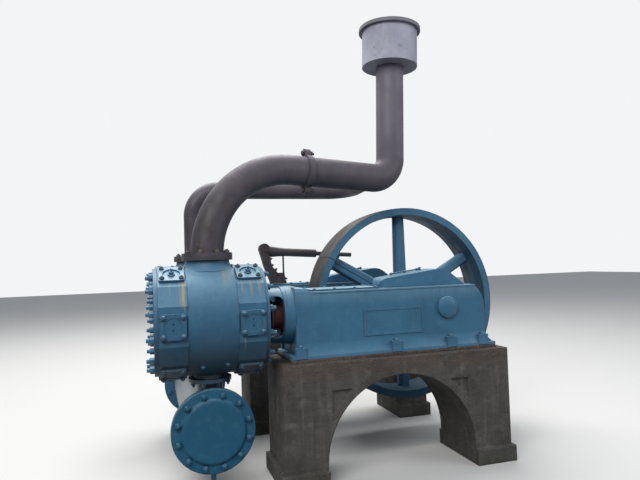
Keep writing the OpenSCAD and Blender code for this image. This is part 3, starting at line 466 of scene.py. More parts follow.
# The fade to near black low down is painted shade on the underside, with oil.
cylinder_paint = machine_paint("cylinder_paint", base=(0.036, 0.132, 0.230, 1),
                               deep=(0.025, 0.100, 0.182, 1), corner_shade_and_grime=0.6, low=0.12, dull_from=0.42,
                               fades=[(1.20, 0.80, 0.86, SHADE_AND_OIL_DARK)], stains=cylinder_stains)
# The covers are very pale where they face up, with painted sky light, and near black low down, with
# painted shade and oil.
cover_paint = machine_paint("cover_paint", base=(0.026, 0.102, 0.178, 1), corner_shade_and_grime=0.9, skin=0.5,
                            sky=0.95, low=0.2, dull_from=0.40,
                            fades=[(1.14, 0.80, 0.75, SHADE_AND_OIL_DARK)])
nut_paint = machine_paint("nut_paint", base=(0.052, 0.160, 0.258, 1), corner_shade_and_grime=0.9, skin=0.8, sky=0.6)

# %% [markdown]
# ## The drum's paint
# The drum's round shell is pale grey, while its flanges and covers are blue.
# Its branches at the top and its far flange are darkened with painted shade, and
# the far cover is a darker, shaded copy of the near cover's paint. The shell
# could be cut off as a piece of its own. It is told apart by its distance from
# the drum's axis instead, so the solid stays whole.

# %% Drum paint
DRUM_X, DRUM_Z = -1.062, 0.417
SHELL_R, SHELL_END_Y = 0.180, 0.737


def pale_shell_and_shade(tree, colour):
    axes = split_axes(tree, place_of(tree))
    reach = reach_from(tree, axes[0], DRUM_X, axes[2], DRUM_Z)
    sideways = maths(tree, "ABSOLUTE", axes[1])
    on_shell = times(tree, step_between(tree, reach, SHELL_R + 0.001, SHELL_R - 0.001),
                     step_between(tree, sideways, SHELL_END_Y + 0.001, SHELL_END_Y - 0.001))
    chalk = blend_colour(tree, use_group(tree, blotches, Scale=5.0, Low=0.35, High=0.6),
                         (0.240, 0.280, 0.285, 1), (0.330, 0.345, 0.330, 1))
    worn = use_group(tree, blotches, Scale=12.0, Low=0.60, High=0.66)
    chalk = tint(tree, chalk, worn, 0.45, (0.150, 0.130, 0.095, 1))
    colour = tint(tree, colour, on_shell, 0.85, chalk)
    # Painted shade: the branches at the top and the far flange are darkened.
    shaded_branches = step_between(tree, axes[2], 0.55, 0.63)
    colour = tint(tree, colour, shaded_branches, 0.75, SHADE_AND_OIL_DARK)
    shaded_far_flange = step_between(tree, axes[1], SHELL_END_Y, SHELL_END_Y + 0.002)
    return tint(tree, colour, shaded_far_flange, 0.55, SHADE_AND_OIL_DARK)


drum_paint = machine_paint("drum_paint", base=(0.010, 0.098, 0.178, 1),
                           deep=(0.008, 0.080, 0.150, 1), dull_from=0.46)
shell_paint = machine_paint("shell_paint", corner_shade_and_grime=0.6, stains=pale_shell_and_shade)
# A darker copy of the drum paint: painted shade on the far cover.
far_drum_shaded_paint = machine_paint("far_drum_shaded_paint", base=(0.016, 0.072, 0.125, 1),
                               deep=(0.012, 0.055, 0.098, 1), dull_from=0.46)

# %% [markdown]
# ## Painted shade and primer inside the distance pieces
# A distance piece joins each cylinder to its frame, with open windows at the
# sides. Inside it is a very dark red: painted shade over red primer. A second
# material would need the inner faces picked by hand, so here too a distance
# tells them apart, the one from the rod's axis.

# %% Distance piece paint
LINE_Y, AXIS_Z = 0.622, 1.105
PRIMED_R = 0.151


def shaded_primed_inside(tree, colour):
    axes = split_axes(tree, place_of(tree))
    reach = reach_from(tree, maths(tree, "ABSOLUTE", axes[1]), LINE_Y, axes[2], AXIS_Z)
    inside = step_between(tree, reach, PRIMED_R + 0.0015, PRIMED_R - 0.0015)
    # The inside is very dark red: painted shade over red primer.
    return blend_colour(tree, inside, colour, (0.050, 0.022, 0.020, 1))


distance_paint = machine_paint("distance_paint", sky=0.65, stains=shaded_primed_inside)

# %% [markdown]
# ## Wheel paint and the worn belt face
# A belt once ran on the outside of the rim, so that face is bare, dark and
# rusty, while the sides and the arms are blue. The inside of the rim is darkened
# with painted shade. The distance from the shaft's axis tells them apart. An
# image could do that as well, but Object coordinates turn with the wheel by
# themselves.

# %% Wheel paint
SHAFT_X, BELT_FACE_R = 0.6225, 0.783


def belt_face(tree, colour):
    axes = split_axes(tree, place_of(tree))
    reach = reach_from(tree, axes[0], SHAFT_X, axes[2], AXIS_Z)
    normal = tree.nodes.new("ShaderNodeNewGeometry").outputs["Normal"]
    sideways = maths(tree, "ABSOLUTE", split_axes(tree, normal)[1])
    # Painted shade on the inside of the rim.
    inside = times(tree, step_between(tree, sideways, 0.6, 0.4),
                   step_between(tree, reach, 0.69, 0.71))
    colour = tint(tree, colour, inside, 0.60, SHADE_AND_OIL_DARK)
    rust = blend_colour(tree, use_group(tree, blotches, Scale=7.0, Low=0.4, High=0.62),
                        (0.028, 0.022, 0.025, 1), (0.054, 0.047, 0.041, 1))
    on_face = step_between(tree, reach, BELT_FACE_R, BELT_FACE_R + 0.002)
    return blend_colour(tree, on_face, colour, rust)


wheel_paint = machine_paint("wheel_paint", base=(0.058, 0.165, 0.262, 1), corner_shade_and_grime=0.45, skin=0.25,
                            dull_from=0.50, stains=belt_face)

# %% [markdown]
# ## Dark pipes, sheet metal and steel
# The suction pipes carry a brown-black coat. Its tops are paler with chalk and
# painted sky light, and painted glare makes it paler the higher it stands
# against the sky. The filter is grey sheet metal, set pale enough to carry
# painted glare, and the regulator is black. Each could be built by itself, but
# they are all one coat with chalk, rust spots and runs, so one function makes
# them.


# %% Other metals
def coated_metal(name, slot_name, base, chalk, chalk_and_sky_light, rough, bump, fades=()):
    made, tree, shader = new_material(name, slot_name)
    clouds = use_group(tree, blotches, Scale=4.0, Low=0.35, High=0.7)
    colour = blend_colour(tree, clouds, base, chalk)
    # Chalk and painted sky light on faces that look up.
    sky_lit_side = use_group(tree, facing_up, Low=0.3, High=0.95)
    colour = tint(tree, colour, sky_lit_side, chalk_and_sky_light, chalk)
    spots = use_group(tree, blotches, Scale=28.0, Low=0.6, High=0.7)
    colour = tint(tree, colour, spots, 0.5, (0.150, 0.075, 0.040, 1))
    runs = use_group(tree, streaks, Scale=22.0, Low=0.5, High=0.7)
    colour = tint(tree, colour, runs, 0.3, chalk)
    for fade in fades:
        colour = by_height(tree, colour, *fade)
    tree.links.new(colour, shader.inputs["Base Color"])
    dull = times(tree, use_group(tree, blotches, Scale=6.0, Low=0.3, High=0.7), 0.2)
    tree.links.new(maths(tree, "ADD", dull, rough), shader.inputs["Roughness"])
    shader.inputs["Specular IOR Level"].default_value = 0.38
    where = place_of(tree)
    bumps(tree, shader, [(noise(tree, where, 12.0, 3.0), 0.006, 0.4 * bump),
                         (noise(tree, where, 110.0, 5.0), 0.0014, bump)], 0.003)
    return made


# The fade to pale purple high up is painted glare.
pipe_coat = coated_metal("pipe_coat", "pipe", (0.028, 0.023, 0.029, 1), (0.066, 0.056, 0.068, 1),
                         0.6, 0.46, 0.35, fades=[(1.75, 2.80, 0.90, (0.158, 0.140, 0.176, 1))])
# The filter's grey is set pale, partly as painted glare.
filter_sheet = coated_metal("filter_sheet", "filter", (0.320, 0.320, 0.400, 1),
                            (0.450, 0.455, 0.540, 1), 0.2, 0.50, 0.25)
lid_sheet = coated_metal("lid_sheet", "filter", (0.150, 0.148, 0.180, 1),
                         (0.230, 0.228, 0.270, 1), 0.3, 0.50, 0.4)
gear_black = coated_metal("gear_black", "pipe", (0.030, 0.024, 0.030, 1),
                          (0.070, 0.058, 0.066, 1), 0.4, 0.40, 0.5)
dark_nut = coated_metal("dark_nut", "paint", (0.028, 0.040, 0.055, 1),
                        (0.080, 0.120, 0.150, 1), 0.4, 0.40, 0.5)
rusty_iron = coated_metal("rusty_iron", "oxide", (0.042, 0.032, 0.031, 1),
                          (0.100, 0.080, 0.066, 1), 0.4, 0.50, 0.7)
red_primer = coated_metal("red_primer", "oxide", (0.085, 0.018, 0.014, 1),
                          (0.050, 0.016, 0.014, 1), 0.2, 0.50, 0.4)

# %% [markdown]
# ## Oiled steel
# The shaft and the piston rods are bright steel under a film of brown oil. A
# plain metal would look new, so dark blotches dull it, and fine noise stands
# for the marks of turning.

# %% Oiled steel
oiled_steel, tree, shader = new_material("oiled_steel", "steel")
oil_film = use_group(tree, blotches, Scale=18.0, Low=0.5, High=0.7)
colour = blend_colour(tree, oil_film, (0.330, 0.320, 0.310, 1), (0.120, 0.085, 0.060, 1))
tree.links.new(colour, shader.inputs["Base Color"])
shader.inputs["Metallic"].default_value = 0.85
dull = times(tree, use_group(tree, blotches, Scale=30.0), 0.2)
tree.links.new(maths(tree, "ADD", dull, 0.25), shader.inputs["Roughness"])
bumps(tree, shader, [(noise(tree, place_of(tree), 140.0, 3.0), 0.0006, 0.3)], 0.002)

# %% [markdown]
# ## Old concrete
# The blocks were cast between boards and have weathered outdoors: brown-grey,
# cloudy, rough with small stones near the top edge, dark where water runs
# down, and greenish near the ground. Sculpting them would take millions of
# faces. Wide, middle and fine noise stand for the three sizes of roughness,
# and a faint ripple for the board marks.

# %% Concrete
concrete, tree, shader = new_material("old_concrete", "concrete")
axes = split_axes(tree, place_of(tree))
colour = blend_colour(tree, use_group(tree, blotches, Scale=2.2, Low=0.36, High=0.66),
                      (0.082, 0.076, 0.070, 1), (0.050, 0.047, 0.044, 1))
clouds = use_group(tree, blotches, Scale=11.0, Low=0.5, High=0.72)
colour = tint(tree, colour, clouds, 0.7, (0.150, 0.140, 0.126, 1))
wet_runs = use_group(tree, streaks, Scale=13.0, Low=0.48, High=0.70)
colour = tint(tree, colour, wet_runs, 0.45, (0.030, 0.028, 0.027, 1))
lime_runs = use_group(tree, streaks, Scale=24.0, Low=0.56, High=0.72)
colour = tint(tree, colour, lime_runs, 0.3, (0.170, 0.160, 0.145, 1))

# %% Brown top, stones and damp
brown_top = times(tree, step_between(tree, axes[2], 0.64, 0.80),
                  use_group(tree, blotches, Scale=5.0, Low=0.32, High=0.55))
colour = tint(tree, colour, brown_top, 0.6, (0.090, 0.062, 0.046, 1))
footing_top = times(tree, step_between(tree, axes[2], 0.085, 0.108),
                    step_between(tree, axes[2], 0.125, 0.112))
stony_zone = maths(tree, "MAXIMUM", step_between(tree, axes[2], 0.70, 0.80), footing_top)
stones = times(tree, stony_zone, use_group(tree, blotches, Scale=70.0, Low=0.56, High=0.64))
colour = tint(tree, colour, stones, 0.85, (0.300, 0.265, 0.220, 1))
specks = use_group(tree, blotches, Scale=120.0, Low=0.66, High=0.72)
colour = tint(tree, colour, specks, 0.5, (0.260, 0.240, 0.210, 1))
damp = times(tree, step_between(tree, axes[2], 0.30, 0.0),
             use_group(tree, blotches, Scale=6.0, Low=0.3, High=0.6))
colour = tint(tree, colour, damp, 0.65, (0.036, 0.038, 0.026, 1))
chipped = use_group(tree, worn_edge, Radius=0.02, Amount=0.55)
colour = blend_colour(tree, chipped, colour, (0.190, 0.172, 0.150, 1))
tree.links.new(colour, shader.inputs["Base Color"])

# %% Rough concrete surface
dull = times(tree, use_group(tree, blotches, Scale=9.0), 0.12)
tree.links.new(maths(tree, "ADD", dull, 0.80), shader.inputs["Roughness"])
where = place_of(tree)
boards = noise(tree, place_of(tree, (0.6, 0.6, 9.0)), 1.6, 1.0)
pits = tree.nodes.new("ShaderNodeTexVoronoi")
tree.links.new(where, pits.inputs["Vector"])
pits.inputs["Scale"].default_value = 34.0
pit_depth = step_between(tree, pits.outputs["Distance"], 0.05, 0.22)
bumps(tree, shader, [(boards, 0.012, 0.6), (noise(tree, where, 7.0, 6.0), 0.025, 0.7),
                     (stones, 0.006, 0.8), (pit_depth, 0.005, 0.5),
                     (noise(tree, where, 70.0, 6.0), 0.006, 0.8)], 0.014)
print("concrete has", len(tree.nodes), "nodes")

# %% Give every CAD node its finish
FINISH = {
    "foundation": concrete, "grout": concrete, "frame": frame_paint, "cover_plate": cover_paint,
    "crank_hood": hood_paint, "main_bearing": frame_paint, "distance_piece": distance_paint,
    "rod_gland": red_primer, "piston_rod": oiled_steel, "cylinder": cylinder_paint,
    "outer_head": cylinder_paint, "valve_covers": cover_paint, "drum_shell": shell_paint,
    "drum_near_cover": drum_paint, "drum_far_cover": far_drum_shaded_paint, "drum_drain": frame_paint,
    "suction_bend": pipe_coat, "suction_run": pipe_coat, "stack_elbow": pipe_coat,
    "stack_pipe": pipe_coat, "filter_body": filter_sheet, "filter_lid": lid_sheet,
    "regulator_body": gear_black, "regulator_cap": gear_black, "regulator_tube": gear_black,
    "regulator_spindle": gear_black, "crankshaft": oiled_steel, "wheel_rim_upper": wheel_paint,
    "wheel_rim_lower": wheel_paint, "wheel_arms_upper": wheel_paint,
    "wheel_arms_lower": wheel_paint,
}


def finish_of(name):
    for prefix in ("", "near_", "far_"):
        if name.startswith(prefix) and name[len(prefix):] in FINISH:
            return FINISH[name[len(prefix):]]
    raise KeyError(name)


for name, part in node.items():
    for material_slot in part.material_slots:
        material_slot.material = finish_of(name)
    if not part.material_slots:
        part.data.materials.append(finish_of(name))
print("finishes given to", len(node), "nodes")

# %% [markdown]
# ## Nuts, studs and screws
# Most of the small detail is hexagon nuts on studs, thick with paint. One nut
# is modelled by hand: a six-sided cylinder with its top edges bevelled and a
# round stud standing out of it. Instances would save memory, but each piece
# has to be one mesh of its own, so the nut is copied to each place and the
# copies of one ring are joined.

# %% Helpers for modelling
LINES = {"near": -1, "far": 1}


def edit_faces(piece, test):
    """Open a piece in edit mode with just the faces selected that pass the test."""
    pick(piece)
    bpy.ops.object.mode_set(mode="EDIT")
    bpy.context.tool_settings.mesh_select_mode = (False, False, True)
    bpy.ops.mesh.select_all(action="DESELECT")
    shape = bmesh.from_edit_mesh(piece.data)
    for face in shape.faces:
        face.select_set(bool(test(face)))
    bmesh.update_edit_mesh(piece.data)


def leave_edit():
    bpy.ops.object.mode_set(mode="OBJECT")


def add_cylinder(radius, depth, base, sides):
    """A cylinder that stands on the height base."""
    deselect_all()
    bpy.ops.mesh.primitive_cylinder_add(vertices=sides, radius=radius, depth=depth,
                                        location=(0, 0, base + depth / 2))
    return bake_place(bpy.context.object)


def join_pieces(name, parts):
    pick(*parts)
    if len(parts) > 1:
        bpy.ops.object.join()
    whole = bpy.context.object
    whole.name = name
    whole.data.name = name
    return bake_place(whole)


def dress(piece, finish, body="machine"):
    """Give a finished piece its material and the body it rides on."""
    piece.data.materials.clear()
    piece.data.materials.append(finish)
    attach(piece, body)
    print(piece.name, len(piece.data.polygons), "faces, rides on", body)
    return piece


# %% Model one nut
def bevel_top(piece, width):
    """Bevel the edges round the faces that look straight up."""
    edit_faces(piece, lambda face: face.normal.z > 0.9)
    bpy.ops.mesh.bevel(offset=width, segments=1, affect="EDGES")
    leave_edit()


def make_nut(across, tall, stud=0.0, stands_out=0.0):
    """A hexagon nut or bolt head that stands on z = 0, with its stud if it has one."""
    nut = add_cylinder(across / math.sqrt(3), tall, 0.0, 6)
    bevel_top(nut, 0.13 * across)
    if not stud:
        return nut
    end = add_cylinder(stud / 2, stands_out + tall / 2, tall / 2, 10)
    bevel_top(end, 0.12 * stud)
    return join_pieces("nut", [nut, end])


# %% Copy a fastener to its places
def around(centre, axis, start, radius, count, turn):
    """Places spread evenly round an axis; the first lies turn degrees from start."""
    spots = []
    for k in range(count):
        angle = math.radians(turn + 360 / count * k)
        arm = Matrix.Rotation(angle, 3, Vector(axis)) @ Vector(start)
        spots.append((Vector(centre) + radius * arm, Vector(axis)))
    return spots


def fasten(name, master, spots, finish, body="machine", spin=0.9):
    """Stand a copy of the master on each place, pointing outwards, and join them."""
    copies = []
    for k, (place, outwards) in enumerate(spots):
        copy = bpy.data.objects.new(name, master.data.copy())
        scene.collection.objects.link(copy)
        turn = Vector(outwards).to_track_quat("Z", "Y").to_matrix().to_4x4()
        copy.matrix_world = Matrix.Translation(place) @ turn @ Matrix.Rotation(spin * k, 4, "Z")
        copies.append(copy)
    bpy.data.objects.remove(master)
    return dress(join_pieces(name, copies), finish, body)


# %% Nuts round the cylinder ends
HEAD_X, CYLINDER_END_X, HEAD_CIRCLE_R = -1.4125, -0.7115, 0.30
for line, side in LINES.items():
    for end, x, outwards in (("head", HEAD_X, -1), ("inner", CYLINDER_END_X, 1)):
        middle = (x, side * LINE_Y, AXIS_Z)
        fasten(line + "_" + end + "_nuts", make_nut(0.040, 0.030, 0.026, 0.018),
               around(middle, (outwards, 0, 0), (0, 0, 1), HEAD_CIRCLE_R, 12, 15), nut_paint)

# %% [markdown]
# ## Turned shapes
# Covers, domes, casings and thin pipes are round about one axis. Spinning a
# profile leaves a seam and poles to close. Here a flat disc is extruded again
# and again, and each new ring is resized to the next radius, so the solid is
# closed from the start.

# %% A turned solid
def turned(profile, sides=72):
    """A round solid about Z: a disc, extruded and resized from each (radius, height) to the next."""
    deselect_all()
    radius, height = profile[0]
    bpy.ops.mesh.primitive_circle_add(vertices=sides, radius=radius, fill_type="NGON",
                                      location=(0, 0, height))
    piece = bake_place(bpy.context.object)
    bpy.ops.object.mode_set(mode="EDIT")
    bpy.context.tool_settings.mesh_select_mode = (False, False, True)
    bpy.ops.mesh.select_all(action="SELECT")
    for next_radius, next_height in profile[1:]:
        rise = (0, 0, next_height - height)
        bpy.ops.mesh.extrude_region_move(TRANSFORM_OT_translate={"value": rise})
        growth = next_radius / radius
        bpy.ops.transform.resize(value=(growth, growth, 1), center_override=(0, 0, next_height))
        radius, height = next_radius, next_height
    bpy.ops.mesh.select_all(action="SELECT")
    bpy.ops.mesh.normals_make_consistent(inside=False)
    leave_edit()
    bpy.ops.object.shade_smooth_by_angle(angle=math.radians(30))
    return piece


# %% [markdown]
# ## The flare under the intake
# The neck that carries the suction pipe widens in one soft curve into the
# round barrel. A boolean with a bevel breaks easily on two crossing rounds.
# So it is turned like a bell first. Each of its points is then let down as
# far as the barrel drops away below it, so that the bell's edge meets the
# barrel all round, along the barrel's own slope.

# %% Neck flares
CYLINDER_MID_X, NECK_R, BARREL_R = -1.062, 0.1435, 0.353
FLARE_ALONG, FLARE_ACROSS, FLARE_STEPS = 0.172, 0.225, 9
BURY, BELL_SPREAD = 0.030, 0.08


def neck_flare(name, side):
    rings = [(NECK_R - BURY, -1.0)]
    for k in range(FLARE_STEPS, -1, -1):
        rings.append((NECK_R + BELL_SPREAD * (k / FLARE_STEPS) ** 2, -k / FLARE_STEPS))
    flare = turned(rings)
    for point in flare.data.vertices:
        x, y, z = point.co
        bell = -z
        reach = math.hypot(x, y)
        along, across = x / reach, y / reach
        foot = 1 / math.hypot(along / FLARE_ALONG, across / FLARE_ACROSS)
        drop = math.sqrt(BARREL_R ** 2 - (foot * across) ** 2)
        corner = drop + (foot - NECK_R) * foot * across ** 2 / drop
        if reach < NECK_R - 0.001:
            point.co.z = AXIS_Z + drop - BURY
        else:
            reach = NECK_R + (foot - NECK_R) * bell ** 2 + 0.002
            point.co.z = (NECK_TOP * (1 - bell) ** 2 + (AXIS_Z + corner) * 2 * bell * (1 - bell)
                          + (AXIS_Z + drop) * bell ** 2 + 0.001 - 0.004 * bell ** 4)
        point.co.x = CYLINDER_MID_X + reach * along
        point.co.y = side * LINE_Y + reach * across
    flare.name = name
    flare.data.name = name
    return dress(flare, cylinder_paint)


for line, side in LINES.items():
    neck_flare(line + "_neck_flare", side)

# %% [markdown]
# ## The valve covers
# Each cylinder has twelve square covers over its valves, two on every flat.
# Four nuts hold a cover. The upper ones have dark stud ends and one more bolt
# in the middle of the ring-shaped recess. The nuts could be placed one by
# one, but a cover's own directions follow from the angle of its flat, so one
# small function gives all their places.

# %% Places on a valve cover
FLAT_R, COVER_T, CORNER = 0.345, 0.020, 0.058


def on_cover(x, side, angle, along, across):
    """A place on a cover and the direction that the cover faces."""
    a = math.radians(angle)
    out = Vector((0, -math.sin(a), math.cos(a)))
    up_flat = Vector((0, math.cos(a), math.sin(a)))
    middle = Vector((x, side * LINE_Y, AXIS_Z))
    return middle + out * (FLAT_R + COVER_T) + up_flat * across + Vector((along, 0, 0)), out


# %% Valve cover nuts
COVER_XS, UPPER_ANGLES, OTHER_ANGLES = (-1.302, -0.822), (-30, 30), (-90, 90, -150, 150)
corners = [(a * CORNER, b * CORNER) for a in (-1, 1) for b in (-1, 1)]
for line, side in LINES.items():
    upper = [(x, angle) for x in COVER_XS for angle in UPPER_ANGLES]
    others = [(x, angle) for x in COVER_XS for angle in OTHER_ANGLES]
    upper_spots = [on_cover(x, side, angle, a, b) for x, angle in upper for a, b in corners]
    other_spots = [on_cover(x, side, angle, a, b) for x, angle in others for a, b in corners]
    middles = [on_cover(x, side, angle, 0, 0) for x, angle in upper]
    fasten(line + "_upper_cover_studs", make_nut(0.027, 0.014, 0.014, 0.007), upper_spots, dark_nut)
    fasten(line + "_side_cover_nuts", make_nut(0.030, 0.012, 0.016, 0.005), other_spots,
           cover_paint)
    fasten(line + "_upper_cover_bolts", make_nut(0.030, 0.018, 0.015, 0.020), middles, nut_paint)

# %% [markdown]
# ## The drum's covers and necks
# Two round cast covers close the drum under the cylinders. Their edge and
# their raised middle are softly rounded, which the plain solids leave out, so
# turned covers take the place of those two nodes in the picture. Twelve nuts
# with bolt heads behind hold each cover, and the drum's two branches bolt to
# the outlet necks of the cylinders.

# %% Drum covers
DRUM_FACE_Y, COVER_DEPTH = 0.803, 0.033
DRUM_PAINTS = {"near": drum_paint, "far": far_drum_shaded_paint}
COVER_PROFILE = [(0.2640, 0.0), (0.2650, 0.001), (0.2650, 0.027), (0.2635, 0.0308),
                 (0.2600, 0.0330), (0.2150, 0.0330), (0.2105, 0.0340), (0.2065, 0.0368),
                 (0.2035, 0.0405), (0.2000, 0.0445), (0.1955, 0.0480), (0.1900, 0.0500),
                 (0.1830, 0.0508), (0.1700, 0.0510)]
for line, side in LINES.items():
    cover = turned(COVER_PROFILE, 96)
    cover.name = line + "_drum_cover_cast"
    back = (DRUM_X, side * (DRUM_FACE_Y - COVER_DEPTH), DRUM_Z)
    turn = Vector((0, side, 0)).to_track_quat("Z", "Y").to_matrix().to_4x4()
    cover.matrix_world = Matrix.Translation(back) @ turn
    dress(bake_place(cover), DRUM_PAINTS[line])
    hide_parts("drum_" + line + "_cover")

# %% Drum nuts
DRUM_CIRCLE_R, OUTLET_CIRCLE_R = 0.2295, 0.121
PIPE_FLANGE_T, OUTLET_DROP = 0.024, 0.372
for line, side in LINES.items():
    face = (DRUM_X, side * DRUM_FACE_Y, DRUM_Z)
    fasten(line + "_drum_nuts", make_nut(0.035, 0.022, 0.020, 0.008),
           around(face, (0, side, 0), (0, 0, 1), DRUM_CIRCLE_R, 12, 15), DRUM_PAINTS[line])
    behind = (DRUM_X, side * (DRUM_FACE_Y - 2 * COVER_DEPTH), DRUM_Z)
    fasten(line + "_drum_bolt_heads", make_nut(0.036, 0.016),
           around(behind, (0, -side, 0), (0, 0, 1), DRUM_CIRCLE_R, 12, 15), shell_paint)
    below = (DRUM_X, side * LINE_Y, AXIS_Z - OUTLET_DROP - PIPE_FLANGE_T)
    fasten(line + "_outlet_nuts", make_nut(0.028, 0.018, 0.016, 0.012),
           around(below, (0, 0, -1), (1, 0, 0), OUTLET_CIRCLE_R, 8, 22.5), shell_paint)

# %% [markdown]
# ## Pipe bolts
# The suction pipes stand on the cylinders' intake flanges with eight nuts
# each. Half way along the near pipe two flanges are held by two bolts, one in
# the ears above and one in the ears below. The near pipe turns a little
# towards the wheel and leans. Working that out for each bolt would be slow,
# so one matrix holds the pipe's place, and its bolts are given in the pipe's
# own directions.

# %% Nuts on the pipe flanges
INTAKE_Z, INTAKE_CIRCLE_R = AXIS_Z + 0.418, 0.1385
for line, side in LINES.items():
    top = (CYLINDER_MID_X, side * LINE_Y, INTAKE_Z + PIPE_FLANGE_T)
    fasten(line + "_intake_nuts", make_nut(0.028, 0.016, 0.014, 0.008),
           around(top, (0, 0, 1), (1, 0, 0), INTAKE_CIRCLE_R, 8, 22.5), rusty_iron)

# %% Bolts half way along the near pipe
PIPE_TURN, PIPE_LEAN = math.radians(11), math.radians(2.2)
PAIR_FRONT, PAIR_BACK, RUN_RISE, EAR_R = 0.759, 0.715, 0.635, 0.136
pipe_place = (Matrix.Translation((CYLINDER_MID_X, -LINE_Y, INTAKE_Z))
              @ Matrix.Rotation(PIPE_TURN, 4, "Z") @ Matrix.Rotation(PIPE_LEAN, 4, "Y"))
pipe_forward = pipe_place.to_3x3() @ Vector((1, 0, 0))


def in_ears(x, outwards):
    """The places in both ears, at a distance along the pipe."""
    return [(pipe_place @ Vector((x, 0, RUN_RISE + s * EAR_R)), outwards) for s in (-1, 1)]


fasten("pipe_joint_bolts", make_nut(0.036, 0.024, 0.020, 0.016),
       in_ears(PAIR_FRONT, pipe_forward), rusty_iron)
fasten("pipe_joint_heads", make_nut(0.036, 0.018), in_ears(PAIR_BACK, -pipe_forward), rusty_iron)

# %% [markdown]
# ## Bolts on the frames and the wheel
# Anchor bolts hold each frame down through lugs along its base. The belt
# wheel is made in two halves, drawn together by bolts through lugs at the hub
# and at the rim. Their places could be read off the lugs, but they follow
# from the angle of the parting plane, and those pieces ride on the wheel.

# %% Anchor nuts and bearing bolts
LUG_XS, LUG_OUT, LUG_TOP = (-0.48983, 0.1975, 0.6225, 0.8775), 0.206, 0.903
BEARING_FACE_Y, BEARING_CIRCLE_R = 0.413, 0.1205
for line, side in LINES.items():
    spots = [((x, side * LINE_Y + edge * LUG_OUT, LUG_TOP), (0, 0, 1))
             for x in LUG_XS for edge in (-1, 1)]
    fasten(line + "_anchor_nuts", make_nut(0.028, 0.013, 0.016, 0.005), spots, nut_paint,
           spin=math.pi / 3)
    face = (SHAFT_X, side * BEARING_FACE_Y, AXIS_Z)
    fasten(line + "_bearing_bolts", make_nut(0.024, 0.014, 0.014, 0.006),
           around(face, (0, -side, 0), (0, 0, 1), BEARING_CIRCLE_R, 6, 30), nut_paint)

# %% Wheel bolts
PARTING_ANGLE, LUG_RISE = math.radians(150), 0.042
WHEEL = Vector((SHAFT_X, 0, AXIS_Z))
parting = Vector((math.cos(PARTING_ANGLE), 0, math.sin(PARTING_ANGLE)))
across_parting = Vector((-math.sin(PARTING_ANGLE), 0, math.cos(PARTING_ANGLE)))


def parting_spots(reach, out_y):
    """Places over and under the parting plane, on both sides of the shaft."""
    return [(WHEEL + parting * s * reach + across_parting * up * LUG_RISE + Vector((0, y, 0)),
             across_parting * up) for s in (-1, 1) for up in (-1, 1) for y in (-out_y, out_y)]


fasten("rim_bolts", make_nut(0.030, 0.020, 0.018, 0.010), parting_spots(0.703, 0.07625),
       nut_paint, body="wheel")
fasten("hub_bolts", make_nut(0.036, 0.024, 0.022, 0.012), parting_spots(0.140, 0.093),
       nut_paint, body="wheel")

# %% [markdown]
# ## Domes on the frame bosses and casings round the rods
# The round boss on each frame has a face that is slightly domed, and through
# the windows of the distance pieces a dark red casing shows round the piston
# rod. Both are turned: the dome is too shallow for a sphere that is cut off,
# and the casing is a stack of plain rounds.

# %% Domes and casings
BOSS_X, BOSS_FACE_Y, BOSS_RISE, FRAME_X = 0.6085, 0.838, 0.006, -0.5585
DOME = [(0.0655, -0.004), (0.0650, 0.000), (0.0620, 0.0022), (0.0560, 0.0046),
        (0.0470, 0.0070), (0.0350, 0.0092), (0.0200, 0.0107), (0.0060, 0.0113)]
CASING = [(0.100, -0.655), (0.105, -0.652), (0.105, -0.636), (0.094, -0.630),
          (0.094, -0.585), (0.112, -0.570), (0.112, FRAME_X)]
for line, side in LINES.items():
    boss = (BOSS_X, side * BOSS_FACE_Y, AXIS_Z + BOSS_RISE)
    fasten(line + "_boss_dome", turned(DOME, 48), [(boss, (0, side, 0))], frame_paint)
    end = (CYLINDER_END_X, side * LINE_Y, AXIS_Z)
    fasten(line + "_rod_casing", turned([(r, x - CYLINDER_END_X) for r, x in CASING], 48),
           [(end, (1, 0, 0))], red_primer)

# %% [markdown]
# ## Plate screws and oil pipes
# Eight screws hold each flat cover plate. On the hood behind it lies a thin
# oil pipe in three clips, with a cup at its end. A curve with a bevel would
# make the pipe, but it is straight, so it is turned like the rest and laid
# along the roof.

# %% Screws of the cover plates
PLATE_TOP_Z, SCREW_OUT, SCREW_XS = 1.265 + 0.012, 0.120, (-0.36, -0.215, -0.065, 0.085)
for line, side in LINES.items():
    spots = [((x, side * LINE_Y + edge * SCREW_OUT, PLATE_TOP_Z), (0, 0, 1))
             for x in SCREW_XS for edge in (-1, 1)]
    fasten(line + "_plate_screws", make_nut(0.019, 0.008), spots, nut_paint)

# %% Oil pipes on the hoods
ROOF = Vector((0.992, 0, 0.126))
PIPE_PROFILE = [(0.0045, 0.0), (0.0055, 0.001), (0.0055, 0.239), (0.0045, 0.240)]
CLIP_PROFILE = [(0.008, 0.0), (0.0095, 0.0015), (0.0095, 0.0105), (0.008, 0.012)]
CUP_PROFILE = [(0.0110, -0.012), (0.0110, 0.003), (0.0080, 0.004), (0.0080, 0.006),
               (0.0120, 0.007), (0.0120, 0.013), (0.0080, 0.017), (0.0040, 0.018)]
OIL_PIPE_X, OIL_PIPE_OUT, OIL_PIPE_Z = 0.275, 0.055, 1.3560
for line, side in LINES.items():
    start = Vector((OIL_PIPE_X, side * LINE_Y + OIL_PIPE_OUT, OIL_PIPE_Z))
    clips = [(start + ROOF * along, ROOF) for along in (0.012, 0.12, 0.222)]
    cup_place = start + ROOF * 0.252 - Vector((0, 0, 0.004))
    fasten(line + "_oil_pipe", turned(PIPE_PROFILE, 12), [(start, ROOF)], nut_paint)
    fasten(line + "_oil_pipe_clips", turned(CLIP_PROFILE, 12), clips, nut_paint)
    fasten(line + "_oil_cup", turned(CUP_PROFILE, 16), [(cup_place, (0, 0, 1))], nut_paint)

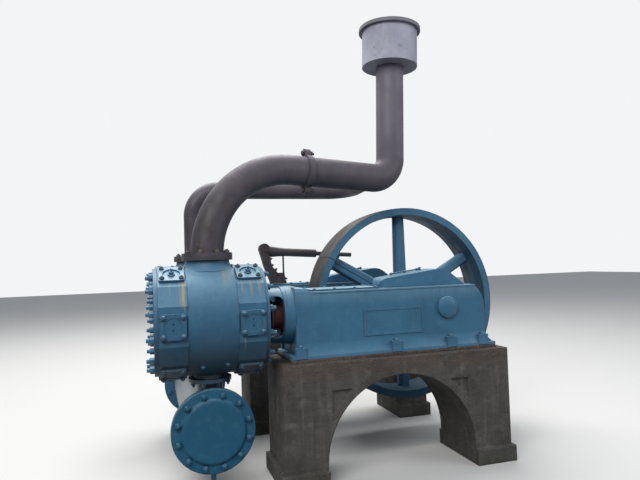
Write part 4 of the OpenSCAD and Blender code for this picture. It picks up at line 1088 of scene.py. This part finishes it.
# %% [markdown]
# ## The regulator's bolts and the swelling of its tube
# The regulator on the far frame is a dark casting: a pilot body, a bracket
# that leans back and a tube that runs to the wheel and swells at its head.
# Bolts stand out along the bracket's front edge and from the side of the
# pilot body. They follow a curved edge, so each has its own place.

# %% Regulator bolts
edge_out = Vector((0.98, 0, 0.2))
fasten("regulator_edge_bolts", make_nut(0.022, 0.014, 0.012, 0.008),
       [((-0.3905, 0.606, 1.555), edge_out), ((-0.3800, 0.606, 1.502), edge_out),
        ((-0.3680, 0.606, 1.443), edge_out), ((-0.3330, 0.606, 1.400), (0.73, 0, 0.68)),
        ((-0.2415, LINE_Y, 1.318), (1, 0, 0))], gear_black)
fasten("regulator_foot_bolts", make_nut(0.018, 0.012, 0.010, 0.006),
       [((-0.364, LINE_Y + s * 0.042, 1.303), (0, 0, 1)) for s in (-1, 1)], gear_black)

# %% The tube's swelling at the regulator's head
TUBE_START, TUBE_SLOPE = Vector((-0.4005, LINE_Y, 1.570)), math.radians(3.6)
SWELLING = [(0.030, 0.004), (0.0495, 0.005), (0.0490, 0.030), (0.0470, 0.055), (0.0440, 0.080),
            (0.0410, 0.105), (0.0390, 0.130), (0.0372, 0.160), (0.030, 0.161)]
tube_way = Vector((math.cos(TUBE_SLOPE), 0, -math.sin(TUBE_SLOPE)))
fasten("regulator_collar", turned(SWELLING, 40), [(TUBE_START, tube_way)], gear_black)

# %% [markdown]
# ## Plugs in the barrel
# Two small hexagon plugs close holes low on each barrel. Their places on the
# near barrel are known along it and by height. The round of the barrel gives
# the rest, and the far ones are the mirror image.

# %% Barrel plugs
plug_spots = []
for x, low in ((-1.1223, 0.8365), (-0.9717, 0.8437)):
    below = low - AXIS_Z
    out = Vector((0, -math.sqrt(BARREL_R ** 2 - below ** 2), below)).normalized()
    plug_spots.append((Vector((x, -LINE_Y, AXIS_Z)) + out * (BARREL_R - 0.001), out))
far_spots = [(Vector((p.x, -p.y, p.z)), Vector((0, -out.y, out.z))) for p, out in plug_spots]
fasten("near_barrel_plugs", make_nut(0.024, 0.013), plug_spots, nut_paint)
fasten("far_barrel_plugs", make_nut(0.024, 0.013), far_spots, nut_paint)
